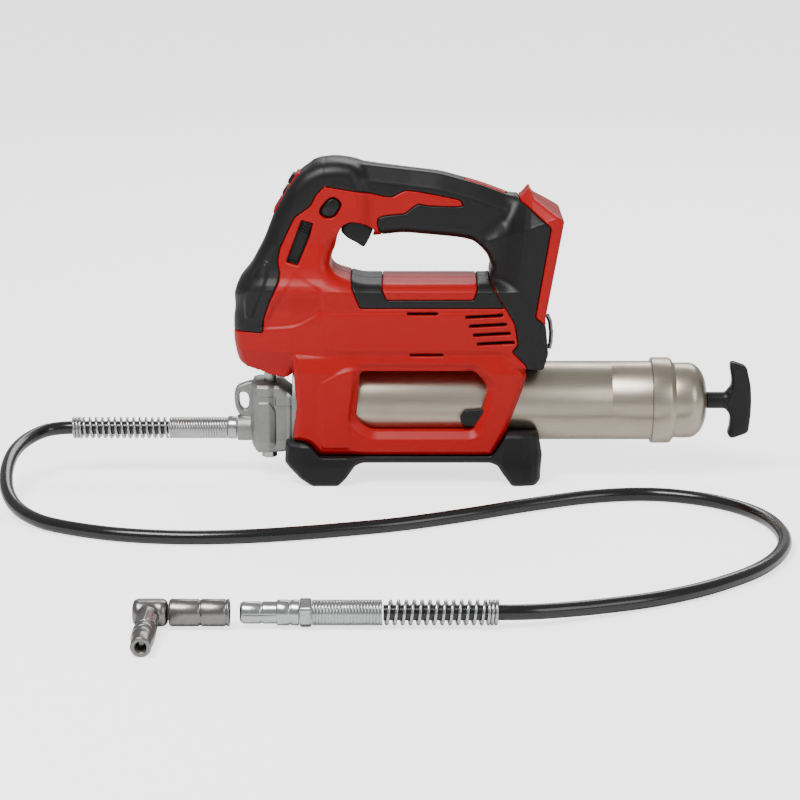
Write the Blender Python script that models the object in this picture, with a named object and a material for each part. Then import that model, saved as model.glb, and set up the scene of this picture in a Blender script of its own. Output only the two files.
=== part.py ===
# Battery grease gun: D-handle housing, pump head, grease barrel, whip hose and a loose elbow adapter.
# +X runs towards the T-handle, -X towards the hose outlet, -Y is the left side and +Z is up.
import math

import bmesh
import bpy
from mathutils import Matrix, Vector

MM = 0.001
GAP = 0.3 * MM               # between pieces that touch
RUN_GAP = 0.5 * MM           # around pieces that turn or slide

# barrel and its cap
BARREL_RADIUS = 28.25 * MM
BARREL_WALL = 1.5 * MM
BARREL_LENGTH = 238 * MM
BARREL_START = -112 * MM     # front end, screwed into the head
CAP_LENGTH = 16 * MM         # the thick ring of the cap
CAP_WALL = 2.6 * MM
DOME_LENGTH = 24 * MM
DOME_WALL = 2.5 * MM

# frame under and around the barrel
RAIL_BOTTOM = 21 * MM
RAIL_THICKNESS = 4.3 * MM
FRAME_SIDE_WALL = 7.75 * MM
FOOT_WIDTH = 84 * MM
AXIS_Z = RAIL_BOTTOM + RAIL_THICKNESS + RUN_GAP + BARREL_RADIUS
FRAME_HALF = BARREL_RADIUS + FRAME_SIDE_WALL
BODY_Z = AXIS_Z + BARREL_RADIUS + 0.7 * MM      # underside of the body, above the barrel

# widths of the housing, measured from the middle plane
BODY_HALF = 34 * MM
NOSE_HALF = 24 * MM
HANDLE_HALF = 17 * MM
MOUNT_HALF = 38 * MM
SKIN = 3 * MM                # overmould thickness
HOUSING_WALL = 2.6 * MM

# controls on the nose and in the handle
LOCK_X = -115.5 * MM
LOCK_Z = BODY_Z + 114.5 * MM
LOCK_RADIUS = 6.5 * MM
TRIGGER_PIVOT = (-107 * MM, 0, BODY_Z + 97 * MM)
TRIGGER_HALF = 9.4 * MM
TRIGGER_OUTLINE = [(-109, 95.5), (-106.9, 100.7), (-101.1, 103.4), (-94, 102.1), (-85.4, 97.7), (-88.3, 91.8),
                   (-91.9, 87.3), (-96.9, 89.6), (-102.6, 92.5)]
SELECTOR_SLOT = [(-136, 104.5), (-128.3, 103), (-130.5, 94.3), (-139, 73.7), (-146.7, 75.8), (-141, 92)]
PANEL_MIDDLE = Vector((-147 * MM, 0, BODY_Z + 123 * MM))
PANEL_LOW = (-17 * MM, -11 * MM, -4.5 * MM)
PANEL_HIGH = (17 * MM, 11 * MM, 30 * MM)
PANEL_TURN = Matrix.Translation(PANEL_MIDDLE) @ Matrix.Rotation(math.radians(-58), 4, "Y")

# bearings and the screws that join the housing's halves, as (x, height above the body's underside)
BEARING_RADIUS = 9 * MM
SCREW_RADIUS = 1.6 * MM
SCREW_HEAD_RADIUS = 3.2 * MM
SCREW_PLACES = [(-128, 8), (20, 8), (-126, 54), (21, 31)]

# motor and reduction gear
MOTOR_RADIUS = 22 * MM
MOTOR_LENGTH = 56 * MM
MOTOR_X = -60 * MM           # front face of the can
MOTOR_Z = BODY_Z + 29 * MM
SHAFT_RADIUS = 2.5 * MM
GEAR_MODULE = 1 * MM
SUN_TEETH = 12
PLANET_TEETH = 15
RING_TEETH = SUN_TEETH + 2 * PLANET_TEETH
RING_WALL = 2.75 * MM        # behind the roots of the ring's teeth
RING_RADIUS = RING_TEETH * GEAR_MODULE / 2 + 1.25 * GEAR_MODULE + RING_WALL
GEAR_WIDTH = 9 * MM
CRANK_THROW = 6 * MM
PIN_RADIUS = 3 * MM

# pump head
YOKE_HALF = 2 * CRANK_THROW + PIN_RADIUS + RUN_GAP      # clears the pin at any stroke and any crank angle
YOKE_WALL = 3.5 * MM
PUMP_X = -160 * MM
PLUNGER_RADIUS = 4.5 * MM
HEAD_FACE = -143.5 * MM      # where the head meets the front pillar of the frame
HEAD_HALF = 20 * MM
OUTLET_Z = 33.9 * MM
OUTLET_RADIUS = 9.5 * MM
OUTLET_BORE = 4 * MM
COLLAR_WALL = 3.5 * MM

# plunger rod and T-handle
ROD_RADIUS = 4 * MM
FOLLOWER_LENGTH = 18 * MM
HANDLE_STEM_RADIUS = 6 * MM

# hose and its fittings
HOSE_DIAMETER = 9.5 * MM
FERRULE_RADIUS = 7.8 * MM
GUARD_RADIUS = 7.8 * MM
GUARD_WALL = 1.8 * MM
COUPLER_RADIUS = 6.6 * MM
SLEEVE_RADIUS = 8.2 * MM
LINE_Y = -367.9 * MM         # where the far end of the hose lies
LINE_Z = 9.3 * MM

HOSE_ROUTE = [               # centre of the hose in millimetres, gun end first
    (-233.5, 0, 33.6), (-266, 0, 33.6), (-300, 0, 33.6), (-312, -1.6, 33.5), (-323, -7, 32.6),
    (-333, -22, 30.2), (-339, -41, 27), (-341, -62, 23), (-340, -84, 18), (-336, -105, 13),
    (-328, -125, 8.8), (-315, -144, 6.2), (-296, -161, 5.2), (-258, -180.2, 5), (-217, -188.7, 5),
    (-175, -187.6, 5), (-135, -179.2, 5), (-100, -168.7, 5), (-64, -155.4, 5), (-20, -132.2, 5),
    (25, -105.4, 5), (68, -85, 5), (107, -79.5, 5), (140, -91, 5), (165, -113.5, 5), (179.5, -141, 5),
    (185.2, -169, 5), (185.3, -194.6, 5), (180.8, -218.3, 5), (171.5, -243, 5), (158, -266, 5),
    (140, -287, 5), (116, -309, 5), (86, -329, 5.2), (54.1, -345.5, 6.2), (28, -358.5, 7.8),
    (8, -365.8, 8.9), (-10, -367.8, 9.3), (-43, -367.9, 9.3), (-76.8, -367.9, 9.3)]

RED = ((0.50, 0.018, 0.015), 0.35, 0.0)
BLACK = ((0.03, 0.03, 0.032), 0.6, 0.0)
CASTING = ((0.38, 0.38, 0.37), 0.45, 0.9)
NICKEL = ((0.50, 0.46, 0.40), 0.35, 1.0)
STEEL = ((0.55, 0.55, 0.54), 0.3, 1.0)
BRASS = ((0.7, 0.5, 0.2), 0.3, 1.0)
BOARD = ((0.02, 0.15, 0.05), 0.5, 0.0)


def material(name, finish):
    found = bpy.data.materials.get(name)
    if found:
        return found
    colour, roughness, metallic = finish
    made = bpy.data.materials.new(name)
    made.use_nodes = True
    shader = made.node_tree.nodes["Principled BSDF"]
    shader.inputs["Base Color"].default_value = (*colour, 1)
    shader.inputs["Roughness"].default_value = roughness
    shader.inputs["Metallic"].default_value = metallic
    return made


def add(name, mesh, finish=None, smooth=False):
    """Put a mesh in the scene; a piece without a finish is a cutter."""
    piece = bpy.data.objects.new(name, mesh)
    bpy.context.collection.objects.link(piece)
    if smooth:
        mesh.shade_smooth()
        mesh.set_sharp_from_angle(angle=math.radians(35))
    if finish:
        mesh.materials.append(material(name + "_finish", finish))
    else:
        piece.hide_render = True
        piece.display_type = "WIRE"
    return piece


def mm(points):
    return [tuple(value * MM for value in point) for point in points]


def area(outline):
    return 0.5 * sum(a[0] * b[1] - b[0] * a[1] for a, b in zip(outline, outline[1:] + outline[:1]))


def offset(outline, distance):
    """Move every side of an outline outwards, or inwards for a negative distance."""
    turn = 1 if area(outline) > 0 else -1
    moved = []
    for i, point in enumerate(outline):
        before = Vector(point) - Vector(outline[i - 1])
        after = Vector(outline[(i + 1) % len(outline)]) - Vector(point)
        before.normalize()
        after.normalize()
        out_a = Vector((before.y, -before.x)) * turn
        out_b = Vector((after.y, -after.x)) * turn
        middle = out_a + out_b
        middle.normalize()
        reach = distance / max(middle.dot(out_a), 0.5)
        moved.append((point[0] + middle.x * reach, point[1] + middle.y * reach))
    return moved


def prism_mesh(name, outline, low, high, axis="Y"):
    """Extrude an outline: (x, z) along Y, (x, y) along Z or (y, z) along X."""
    place = {"Y": lambda a, b, t: (a, t, b), "Z": lambda a, b, t: (a, b, t), "X": lambda a, b, t: (t, a, b)}[axis]
    shape = bmesh.new()
    face = shape.faces.new([shape.verts.new(place(a, b, low)) for a, b in outline])
    grown = bmesh.ops.extrude_face_region(shape, geom=[face])
    tops = [v for v in grown["geom"] if isinstance(v, bmesh.types.BMVert)]
    bmesh.ops.translate(shape, verts=tops, vec=Vector(place(0, 0, high)) - Vector(place(0, 0, low)))
    bmesh.ops.recalc_face_normals(shape, faces=shape.faces)
    mesh = bpy.data.meshes.new(name)
    shape.to_mesh(mesh)
    shape.free()
    return mesh


def prism(name, outline, low, high, finish=None, axis="Y", bevel=0):
    piece = add(name, prism_mesh(name, outline, low, high, axis), finish)
    if bevel:
        soften(piece, bevel)
    return piece


def box(name, low, high, finish=None, bevel=0):
    outline = [(low[0], low[2]), (high[0], low[2]), (high[0], high[2]), (low[0], high[2])]
    return prism(name, outline, low[1], high[1], finish, bevel=bevel)


def turned(name, profile, centre, axis="X", finish=None, sides=32):
    """Turn a closed profile of (place along the axis, radius) about an axis."""
    frames = {"X": Matrix.Identity(3), "Y": Matrix.Rotation(math.pi / 2, 3, "Z"),
              "Z": Matrix.Rotation(-math.pi / 2, 3, "Y")}
    turn = frames[axis]
    shape = bmesh.new()
    rings = []
    for along, radius in profile:
        if radius == 0:
            rings.append([shape.verts.new(Vector(centre) + turn @ Vector((along, 0, 0)))] * sides)
            continue
        angles = [2 * math.pi * i / sides for i in range(sides)]
        rings.append([shape.verts.new(Vector(centre) + turn @ Vector(
            (along, radius * math.cos(a), radius * math.sin(a)))) for a in angles])
    for first, second in zip(rings, rings[1:] + rings[:1]):
        for i in range(sides):
            k = (i + 1) % sides
            corners = list(dict.fromkeys([first[i], first[k], second[k], second[i]]))
            if len(corners) > 2:
                shape.faces.new(corners)
    bmesh.ops.recalc_face_normals(shape, faces=shape.faces)
    mesh = bpy.data.meshes.new(name)
    shape.to_mesh(mesh)
    shape.free()
    return add(name, mesh, finish, smooth=True)


def rod(name, start, end, radius, centre, axis="X", finish=None, sides=32):
    return turned(name, [(start, 0), (start, radius), (end, radius), (end, 0)], centre, axis, finish, sides)


def bored(name, places, first_radius, second_radius, centre, axis="X"):
    """A cutter for a stepped bore: one radius up to the middle place, another after it."""
    start, middle, end = places
    profile = [(start, 0), (start, first_radius), (middle, first_radius), (middle, second_radius),
               (end, second_radius), (end, 0)]
    return turned(name, profile, centre, axis, sides=48)


def tube(name, start, end, inner, outer, centre, axis="X", finish=None, sides=32):
    profile = [(start, inner), (start, outer), (end, outer), (end, inner)]
    return turned(name, profile, centre, axis, finish, sides)


def soften(piece, width, segments=2):
    bevel = piece.modifiers.new("soft_edges", "BEVEL")
    bevel.width = width
    bevel.segments = segments
    bevel.angle_limit = math.radians(40)


def combine(piece, other, operation="DIFFERENCE", solver="EXACT"):
    join = piece.modifiers.new(operation.lower(), "BOOLEAN")
    join.operation = operation
    join.solver = solver
    join.object = other
    other.hide_render = True
    other.display_type = "WIRE"


def cut(piece, *cutters, solver="EXACT"):
    for cutter in cutters:
        combine(piece, cutter, "DIFFERENCE", solver)


def pivot(piece, point):
    """Put a piece's origin on its joint without moving its shape."""
    piece.data.transform(Matrix.Translation(-Vector(point)))
    piece.location = point


# ---- housing outlines ---------------------------------------------------------------------

def above_body(points):
    """Outlines of the body are drawn from its underside, so they rise with the barrel's size."""
    return [(x * MM, BODY_Z + z * MM) for x, z in points]


def beside_barrel(points):
    """Frame outlines are drawn with heights as shares of the way from the rail to the body."""
    return [(x * MM, RAIL_BOTTOM + share * (BODY_Z - RAIL_BOTTOM)) for x, share in points]


BODY_OUTLINE = above_body([
    (-149, -6.5), (-172, -6.5), (-178, -3), (-183, 7), (-185.3, 19), (-185, 37), (-181.5, 50),
    (-177, 61), (18, 60), (32, 37), (24, 0.4), (-143, 0.4)])
NOSE_OUTLINE = above_body([
    (-180, 54), (-172, 72), (-163.5, 88), (-155.5, 109), (-145, 128), (-136, 139), (-124, 145.5),
    (-109, 146.6), (-109, 91), (-113.7, 85), (-116.6, 72), (-112, 65), (-102.4, 60), (-102, 54)])
HANDLE_OUTLINE = above_body([
    (-116, 146.4), (-81, 141.5), (-38, 136.5), (-10, 128.5), (12, 120), (12, 68), (-0.2, 72),
    (-5, 83.4), (-10, 87.7), (-24, 91.3), (-65, 95.2), (-85, 93), (-116, 92)])
COLUMN_OUTLINE = above_body([
    (-14, 54), (-11, 60), (-4.8, 61.4), (-0.2, 72), (-5, 83.4), (-9, 88), (-9, 127.5), (12.5, 119.3),
    (24.4, 127.6), (48, 107), (35.4, 37), (37.8, 12), (34.4, 0.4), (8, 0.4)])
FRAME_OUTLINE = beside_barrel([
    (-143, 1.05), (-140.4, 0.6), (-143, 0.18), (-131.4, 0.145), (-124, 0), (-1.4, 0), (7.7, 0.24),
    (19.5, 0.75), (23, 0.95), (22, 1.05)])
WINDOW_OUTLINE = beside_barrel([
    (-95, 0.985), (-13.9, 0.985), (-9, 0.9), (-4.6, 0.79), (-7.4, 0.6), (-11.5, 0.42), (-15, 0.29),
    (-86.7, 0.29), (-93.7, 0.36), (-98, 0.45), (-96.5, 0.66)])
NOSE_GUARD_REGION = above_body([
    (-195, 24.5), (-164.4, 24.5), (-163.5, 35), (-158.4, 49), (-152, 63), (-152, 69), (-153, 76),
    (-151.7, 85), (-147.4, 94), (-140.3, 108.3), (-129.8, 115.4), (-124, 127), (-120, 130),
    (-120, 155), (-165, 155)])
GRIP_REGION = above_body([
    (-119.4, 155), (-119.4, 128.8), (-105.4, 126.7), (-72.4, 120.7), (-56.3, 124.9), (-22.5, 117),
    (-24, 114), (-54.2, 116), (-63.3, 109), (-77.3, 107.9), (-83, 103), (-81.6, 97), (-78, 88),
    (-20, 75), (-6, 68), (3.4, 51), (14.1, 33), (16.3, 18.6), (12.1, 13.6), (22.1, 4), (24.9, -8),
    (60, -8), (60, 10), (29, 38), (39.5, 105), (28, 135), (24, 155)])
BAND_REGION = above_body([
    (-101.9, 66), (-100.5, 58), (-94.9, 44.4), (6.85, 44.4), (3, 50.8), (-6.4, 67.8), (-10, 67.8),
    (-12.8, 57), (-14.8, 50), (-76.6, 50), (-79.4, 57), (-79.4, 66)])


def plan(points, half):
    """A symmetric outline seen from above: x in mm and the share of the half width there."""
    front = [(x * MM, -share * half) for x, share in points]
    return front + [(x, -y) for x, y in reversed(front)]


def zone(name, outline, top_view, inset):
    """One block of the housing: its side view cut to its top view."""
    whole = prism(name, offset(outline, -inset), -0.1, 0.1)
    trim = prism(name + "_top_view", offset(top_view, -inset), -0.1, 0.4, axis="Z")
    combine(whole, trim, "INTERSECT")
    return whole


def shell(name, inset):
    """The housing's full outer shape, drawn in by an inset."""
    whole = zone(name, BODY_OUTLINE, plan(
        [(-186, 0.45), (-176, 0.65), (-145, 0.9), (-110, 1), (40, 1)], BODY_HALF), inset)
    combine(whole, zone(name + "_nose", NOSE_OUTLINE, plan(
        [(-184, 0.6), (-165, 0.85), (-140, 1), (-90, 1)], NOSE_HALF), inset), "UNION")
    combine(whole, zone(name + "_handle", HANDLE_OUTLINE, plan(
        [(-130, 1), (14, 1)], HANDLE_HALF), inset), "UNION")
    combine(whole, zone(name + "_column", COLUMN_OUTLINE, plan(
        [(-15, 0.5), (8, 0.72), (22, 0.97), (52, 1)], MOUNT_HALF), inset), "UNION")
    return whole


def half_space(name, side):
    """A block that holds one half of the object, up to the parting gap."""
    near = GAP / 2
    low = near if side > 0 else -0.2
    high = 0.2 if side > 0 else -near
    return prism(name, [(-0.4, -0.1), (0.4, -0.1), (0.4, 0.5), (-0.4, 0.5)], low, high)


# ---- housing ------------------------------------------------------------------------------

def housing_cutters():
    """Everything that is hollow in the housing, made once for both halves."""
    motor = (0, 0, MOTOR_Z)
    barrel = (0, 0, AXIS_Z)
    cavity = max(MOTOR_RADIUS + 3 * MM, RING_RADIUS) + RUN_GAP
    cutters = [
        bored("cut_barrel", (-0.2, BARREL_START + 12 * MM + GAP, 0.3), BARREL_RADIUS + COLLAR_WALL + GAP,
              BARREL_RADIUS + RUN_GAP, barrel),
        bored("cut_motor", (-149 * MM, MOTOR_X - 24 * MM, 15 * MM), BEARING_RADIUS + GAP, cavity, motor),
        box("cut_yoke", (PUMP_X - 9 * MM, -15 * MM, MOTOR_Z - YOKE_HALF - YOKE_WALL - CRANK_THROW - 1 * MM),
            (PUMP_X + 16 * MM, 15 * MM, MOTOR_Z + YOKE_HALF + YOKE_WALL + CRANK_THROW + 1 * MM)),
        rod("cut_plunger", 0.05, MOTOR_Z, PLUNGER_RADIUS + 1 * MM, (PUMP_X, 0, 0), "Z", sides=24),
        prism("cut_handle", offset(HANDLE_OUTLINE, -SKIN - HOUSING_WALL), -HANDLE_HALF + SKIN + HOUSING_WALL,
              HANDLE_HALF - SKIN - HOUSING_WALL),
        prism("cut_nose", above_body([(-168, 63), (-148, 104), (-134, 130), (-114, 138), (-114, 93), (-121, 84),
                                      (-121, 63)]), -NOSE_HALF + SKIN + HOUSING_WALL,
              NOSE_HALF - SKIN - HOUSING_WALL),
        box("cut_wiring", (-3.3 * MM, -9.4 * MM, MOTOR_Z + 4 * MM), (9.3 * MM, 9.4 * MM, BODY_Z + 100 * MM)),
        box("cut_battery", (18 * MM, -30 * MM, BODY_Z + 44 * MM), (0.08, 30 * MM, BODY_Z + 101 * MM)),
        box("cut_trigger", (-110.5 * MM, -TRIGGER_HALF - RUN_GAP, BODY_Z + 84 * MM),
            (-84 * MM, TRIGGER_HALF + RUN_GAP, BODY_Z + 107 * MM)),
        prism("cut_trigger_window", offset(above_body(TRIGGER_OUTLINE), RUN_GAP), -HANDLE_HALF - 3 * MM,
              HANDLE_HALF + 3 * MM),
        rod("cut_lock", -0.1, 0.1, LOCK_RADIUS + RUN_GAP, (LOCK_X, 0, LOCK_Z), "Y", sides=20),
        prism("cut_selector", offset(above_body(SELECTOR_SLOT), RUN_GAP), -0.1, -NOSE_HALF + SKIN + HOUSING_WALL + 1 * MM),
        box("cut_panel", PANEL_LOW, PANEL_HIGH)]
    cutters[-1].data.transform(PANEL_TURN)
    for i in range(4):
        left = (-20.5 + 2.7 * i) * MM
        low = BODY_Z + (36.2 - 6.4 * i) * MM
        right = left + 26 * MM
        slot = [(left, low), (right, low + 1.6 * MM), (right, low + 4 * MM), (left, low + 2.4 * MM)]
        cutters.append(prism(f"cut_vent_{i + 1}", slot, -0.1, 0.1))
    return cutters


def screw_cutters(side):
    made = []
    for i, (x, z) in enumerate(above_body(SCREW_PLACES)):
        radius = SCREW_RADIUS + RUN_GAP
        name = f"cut_screw_{i + 1}_{side}"
        seat = BODY_HALF - 8 * MM
        made.append(rod(name, -12 * MM, seat, radius, (x, 0, z), "Y", sides=12))
        made.append(rod(name + "_head", seat - 3 * MM, 0.1, SCREW_HEAD_RADIUS + RUN_GAP, (x, 0, z), "Y", sides=16))
    return made


def build_housing():
    cutters = housing_cutters()
    screws = screw_cutters("both")
    regions = {"nose_guard": NOSE_GUARD_REGION, "grip_overmold": GRIP_REGION, "waist_band": BAND_REGION}
    for side, word in ((-1, "left"), (1, "right")):
        half = half_space("half_" + word, side)
        body = shell("housing_" + word, 0)
        body.hide_render = False
        body.display_type = "TEXTURED"
        body.data.materials.append(material("housing_finish", RED))
        for region, outline in regions.items():
            cut(body, prism(f"recess_{region}_{word}", offset(outline, GAP), -0.1, 0.1))
        combine(body, shell("core_" + word, SKIN), "UNION")
        frame = prism("frame_" + word, FRAME_OUTLINE, -FRAME_HALF, FRAME_HALF)
        cut(frame, prism("cut_window_" + word, WINDOW_OUTLINE, -0.1, 0.1))
        combine(body, frame, "UNION")
        combine(body, half, "INTERSECT")
        cut(body, *cutters, *screws, solver="MANIFOLD")
        for region, outline in regions.items():
            skin = prism(f"{region}_{word}", outline, -0.1, 0.1, BLACK)
            combine(skin, shell(f"outer_{region}_{word}", 0), "INTERSECT")
            cut(skin, shell(f"inner_{region}_{word}", SKIN - GAP))
            combine(skin, half, "INTERSECT")
            cut(skin, *cutters, *screws)


# ---- controls -----------------------------------------------------------------------------

def build_controls():
    trigger = prism("trigger", above_body(TRIGGER_OUTLINE), -TRIGGER_HALF, TRIGGER_HALF, BLACK, bevel=0.9 * MM)
    pivot(trigger, TRIGGER_PIVOT)
    proud = NOSE_HALF + 2 * MM
    lock = rod("lock_button", -proud, proud, LOCK_RADIUS, (LOCK_X, 0, LOCK_Z), "Y", BLACK, 20)
    pivot(lock, (LOCK_X, 0, LOCK_Z))
    slider = prism("speed_selector", above_body([(-135.4, 103), (-129.4, 101.5), (-131.3, 93.5), (-138.3, 95)]),
                   -NOSE_HALF - 1.5 * MM, -NOSE_HALF + SKIN + HOUSING_WALL, BLACK)
    pivot(slider, (-134 * MM, -NOSE_HALF, BODY_Z + 98 * MM))
    frame = box("panel_frame", (PANEL_LOW[0] + GAP, PANEL_LOW[1] + GAP, PANEL_LOW[2] + GAP),
                (PANEL_HIGH[0] - GAP, PANEL_HIGH[1] - GAP, 0.5 * MM), RED, bevel=0.6 * MM)
    wells = []
    for name, low, high, top, finish in (
            ("button_upper", 6 * MM, 14 * MM, 3.2 * MM, BLACK), ("button_lower", -3 * MM, 4 * MM, 2.2 * MM, BLACK),
            ("display_lens", -14 * MM, -5 * MM, 1 * MM, BLACK)):
        wells.append(box("well_" + name, (low - GAP, -7.3 * MM, -2 * MM), (high + GAP, 7.3 * MM, 9 * MM)))
        key = box(name, (low, -7 * MM, -2 * MM + GAP + (0 if name == "display_lens" else 1 * MM)),
                  (high, 7 * MM, top), finish, bevel=0.5 * MM)
        key.data.transform(PANEL_TURN)
        pivot(key, PANEL_TURN @ Vector(((low + high) / 2, 0, 0)))
    for well in wells:
        well.data.transform(PANEL_TURN)
    frame.data.transform(PANEL_TURN)
    cut(frame, *wells)
    box("switch_body", (-106 * MM, -7 * MM, BODY_Z + 108 * MM), (-72 * MM, 7 * MM, BODY_Z + 122 * MM), BLACK)
    box("circuit_board", (-140 * MM, -14 * MM, BODY_Z + 66 * MM), (-122 * MM, 14 * MM, BODY_Z + 68 * MM), BOARD)


# ---- battery mount ------------------------------------------------------------------------

def build_battery_mount():
    floor = BODY_Z + 44.5 * MM
    block = box("terminal_block", (18 * MM + GAP, -22 * MM, floor), (28 * MM, 22 * MM, floor + 42 * MM), BLACK,
                bevel=1 * MM)
    for i, y in enumerate((-12 * MM, 0, 12 * MM)):
        slot = box(f"cut_contact_{i + 1}", (22 * MM, y - 1 * MM - GAP, floor + 8 * MM),
                   (0.06, y + 1 * MM + GAP, floor + 34 * MM))
        cut(block, slot)
        box(f"battery_contact_{i + 1}", (22 * MM + GAP, y - 1 * MM, floor + 8 * MM + GAP),
            (33 * MM, y + 1 * MM, floor + 34 * MM - GAP), BRASS)
    path = above_body([(38.2, 34), (40.4, 29), (41.4, 21), (41.1, 14), (40, 9)])
    curve = bpy.data.curves.new("strap_ring", "CURVE")
    line = curve.splines.new("POLY")
    line.points.add(len(path) - 1)
    for point, (x, z) in zip(line.points, path):
        point.co = (x, 0, z, 1)
    finish_cord(curve, "strap_ring", 1.6 * MM, STEEL)


def finish_cord(curve, name, radius, finish):
    curve.dimensions = "3D"
    curve.bevel_depth = radius
    curve.bevel_resolution = 2
    curve.use_fill_caps = True
    curve.materials.append(material(name + "_finish", finish))
    piece = bpy.data.objects.new(name, curve)
    bpy.context.collection.objects.link(piece)
    return piece


# ---- drive --------------------------------------------------------------------------------

def gear_outline(teeth, centre, turn, inside=False):
    """Trapezoid teeth around the pitch circle."""
    radius = teeth * GEAR_MODULE / 2
    tall = radius + (1.15 if inside else 0.85) * GEAR_MODULE
    deep = radius - (0.85 if inside else 1.1) * GEAR_MODULE
    outline = []
    root, tip = (0.36, 0.14) if inside else (0.32, 0.1)
    for i in range(teeth):
        for share, reach in ((-root, deep), (-tip, tall), (tip, tall), (root, deep)):
            angle = 2 * math.pi * (i + share) / teeth + turn
            outline.append((centre[0] + reach * math.cos(angle), centre[1] + reach * math.sin(angle)))
    return outline


def fan_outline(centre):
    """Nine straight blades around a hub."""
    hub, tip, blades = 8 * MM, MOTOR_RADIUS - 2 * MM, 9
    outline = []
    for i in range(blades):
        for share, reach in ((-0.34, hub), (-0.05, hub), (-0.03, tip), (0.03, tip), (0.05, hub), (0.34, hub)):
            angle = 2 * math.pi * (i + share) / blades
            outline.append((centre[0] + reach * math.cos(angle), centre[1] + reach * math.sin(angle)))
    return outline


def build_drive():
    axis = (0, 0, MOTOR_Z)
    back = MOTOR_X + MOTOR_LENGTH
    wall = 2 * MM
    bearing = (5 * MM, 7 * MM)
    turned("motor_can", [(MOTOR_X, SHAFT_RADIUS + 2 * MM), (MOTOR_X, MOTOR_RADIUS), (back, MOTOR_RADIUS),
                         (back, bearing[0] + GAP + 3 * MM), (back - wall, bearing[0] + GAP + 3 * MM),
                         (back - wall, MOTOR_RADIUS - wall), (MOTOR_X + wall, MOTOR_RADIUS - wall),
                         (MOTOR_X + wall, SHAFT_RADIUS + 2 * MM)], axis, finish=STEEL)
    gear_back = MOTOR_X - 5 * MM
    gear_front = gear_back - GEAR_WIDTH
    rotor_end = back - wall - RUN_GAP - 3 * MM
    turned("rotor", [(gear_front - 1 * MM, 0), (gear_front - 1 * MM, SHAFT_RADIUS),
                     (MOTOR_X + 6 * MM, SHAFT_RADIUS), (MOTOR_X + 6 * MM, MOTOR_RADIUS - wall - 3 * MM),
                     (rotor_end, MOTOR_RADIUS - wall - 3 * MM), (rotor_end, SHAFT_RADIUS),
                     (back + 13 * MM, SHAFT_RADIUS), (back + 13 * MM, 0)], axis, finish=STEEL)
    fan = prism("cooling_fan", fan_outline((0, MOTOR_Z)), back + 2 * MM, back + 9 * MM, BLACK, "X")
    cut(fan, rod("cut_fan", -0.2, 0.2, SHAFT_RADIUS + GAP, axis, sides=20))
    tube("rear_bearing", back - wall - 2 * MM, back + 1 * MM, SHAFT_RADIUS + GAP, bearing[0] + 3 * MM, axis,
         finish=STEEL)
    reach = (SUN_TEETH + PLANET_TEETH) * GEAR_MODULE / 2
    sun = prism("sun_gear", gear_outline(SUN_TEETH, (0, MOTOR_Z), 0), gear_front, gear_back, STEEL, "X")
    cut(sun, rod("cut_sun", -0.2, 0.2, SHAFT_RADIUS + GAP, axis, sides=20))
    case = tube("ring_gear_case", gear_front - 1 * MM, gear_back + 2 * MM, RING_TEETH * GEAR_MODULE / 2 - 2 * MM,
                RING_RADIUS, axis, finish=STEEL, sides=48)
    cut(case, prism("cut_ring_teeth", gear_outline(RING_TEETH, (0, MOTOR_Z), 0, True),
                    -0.2, 0.2, axis="X"))
    for i in range(3):
        angle = 2 * math.pi * i / 3
        centre = (reach * math.cos(angle), MOTOR_Z + reach * math.sin(angle))
        planet = prism(f"planet_gear_{i + 1}", gear_outline(PLANET_TEETH, centre, angle + math.pi + math.pi
                       / PLANET_TEETH), gear_front, gear_back, STEEL, "X")
        cut(planet, rod(f"cut_planet_{i + 1}", -0.2, 0.2, 2 * MM + GAP, (0, *centre), sides=16))
        pivot(planet, (gear_front, *centre))
    crank_x = PUMP_X + 15 * MM
    carrier = turned("crank_carrier", [
        (crank_x - 4 * MM, 0), (crank_x - 4 * MM, CRANK_THROW + PIN_RADIUS + 3 * MM),
        (crank_x, CRANK_THROW + PIN_RADIUS + 3 * MM), (crank_x, 5 * MM), (gear_front - 5 * MM, 5 * MM),
        (gear_front - 5 * MM, reach + 4 * MM), (gear_front - 1.5 * MM, reach + 4 * MM),
        (gear_front - 1.5 * MM, 0)], axis, finish=STEEL)
    combine(carrier, rod("crank_pin", PUMP_X - 5 * MM, crank_x - 2 * MM, PIN_RADIUS,
                         (0, CRANK_THROW, MOTOR_Z), sides=16), "UNION")
    for i in range(3):
        angle = 2 * math.pi * i / 3
        centre = (0, reach * math.cos(angle), MOTOR_Z + reach * math.sin(angle))
        combine(carrier, rod(f"planet_pin_{i + 1}", gear_front - 3 * MM, gear_back, 2 * MM, centre, sides=12), "UNION")
    tube("carrier_bearing", crank_x + 8 * MM, crank_x + 16 * MM, 5 * MM + GAP, BEARING_RADIUS, axis, finish=STEEL)
    slot = CRANK_THROW + PIN_RADIUS + RUN_GAP
    yoke = box("plunger_yoke", (PUMP_X - 5 * MM, -slot - 3 * MM, MOTOR_Z - YOKE_HALF - YOKE_WALL),
               (PUMP_X + 5 * MM, slot + 3 * MM, MOTOR_Z + YOKE_HALF + YOKE_WALL), STEEL)
    cut(yoke, box("cut_yoke_slot", (PUMP_X - 9 * MM, -slot, MOTOR_Z - YOKE_HALF),
                  (PUMP_X + 9 * MM, slot, MOTOR_Z + YOKE_HALF)))
    combine(yoke, rod("pump_plunger", AXIS_Z - 6 * MM, MOTOR_Z - YOKE_HALF - 2 * MM, PLUNGER_RADIUS,
                      (PUMP_X, 0, 0), "Z", sides=20), "UNION")


# ---- pump head ----------------------------------------------------------------------------

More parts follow.
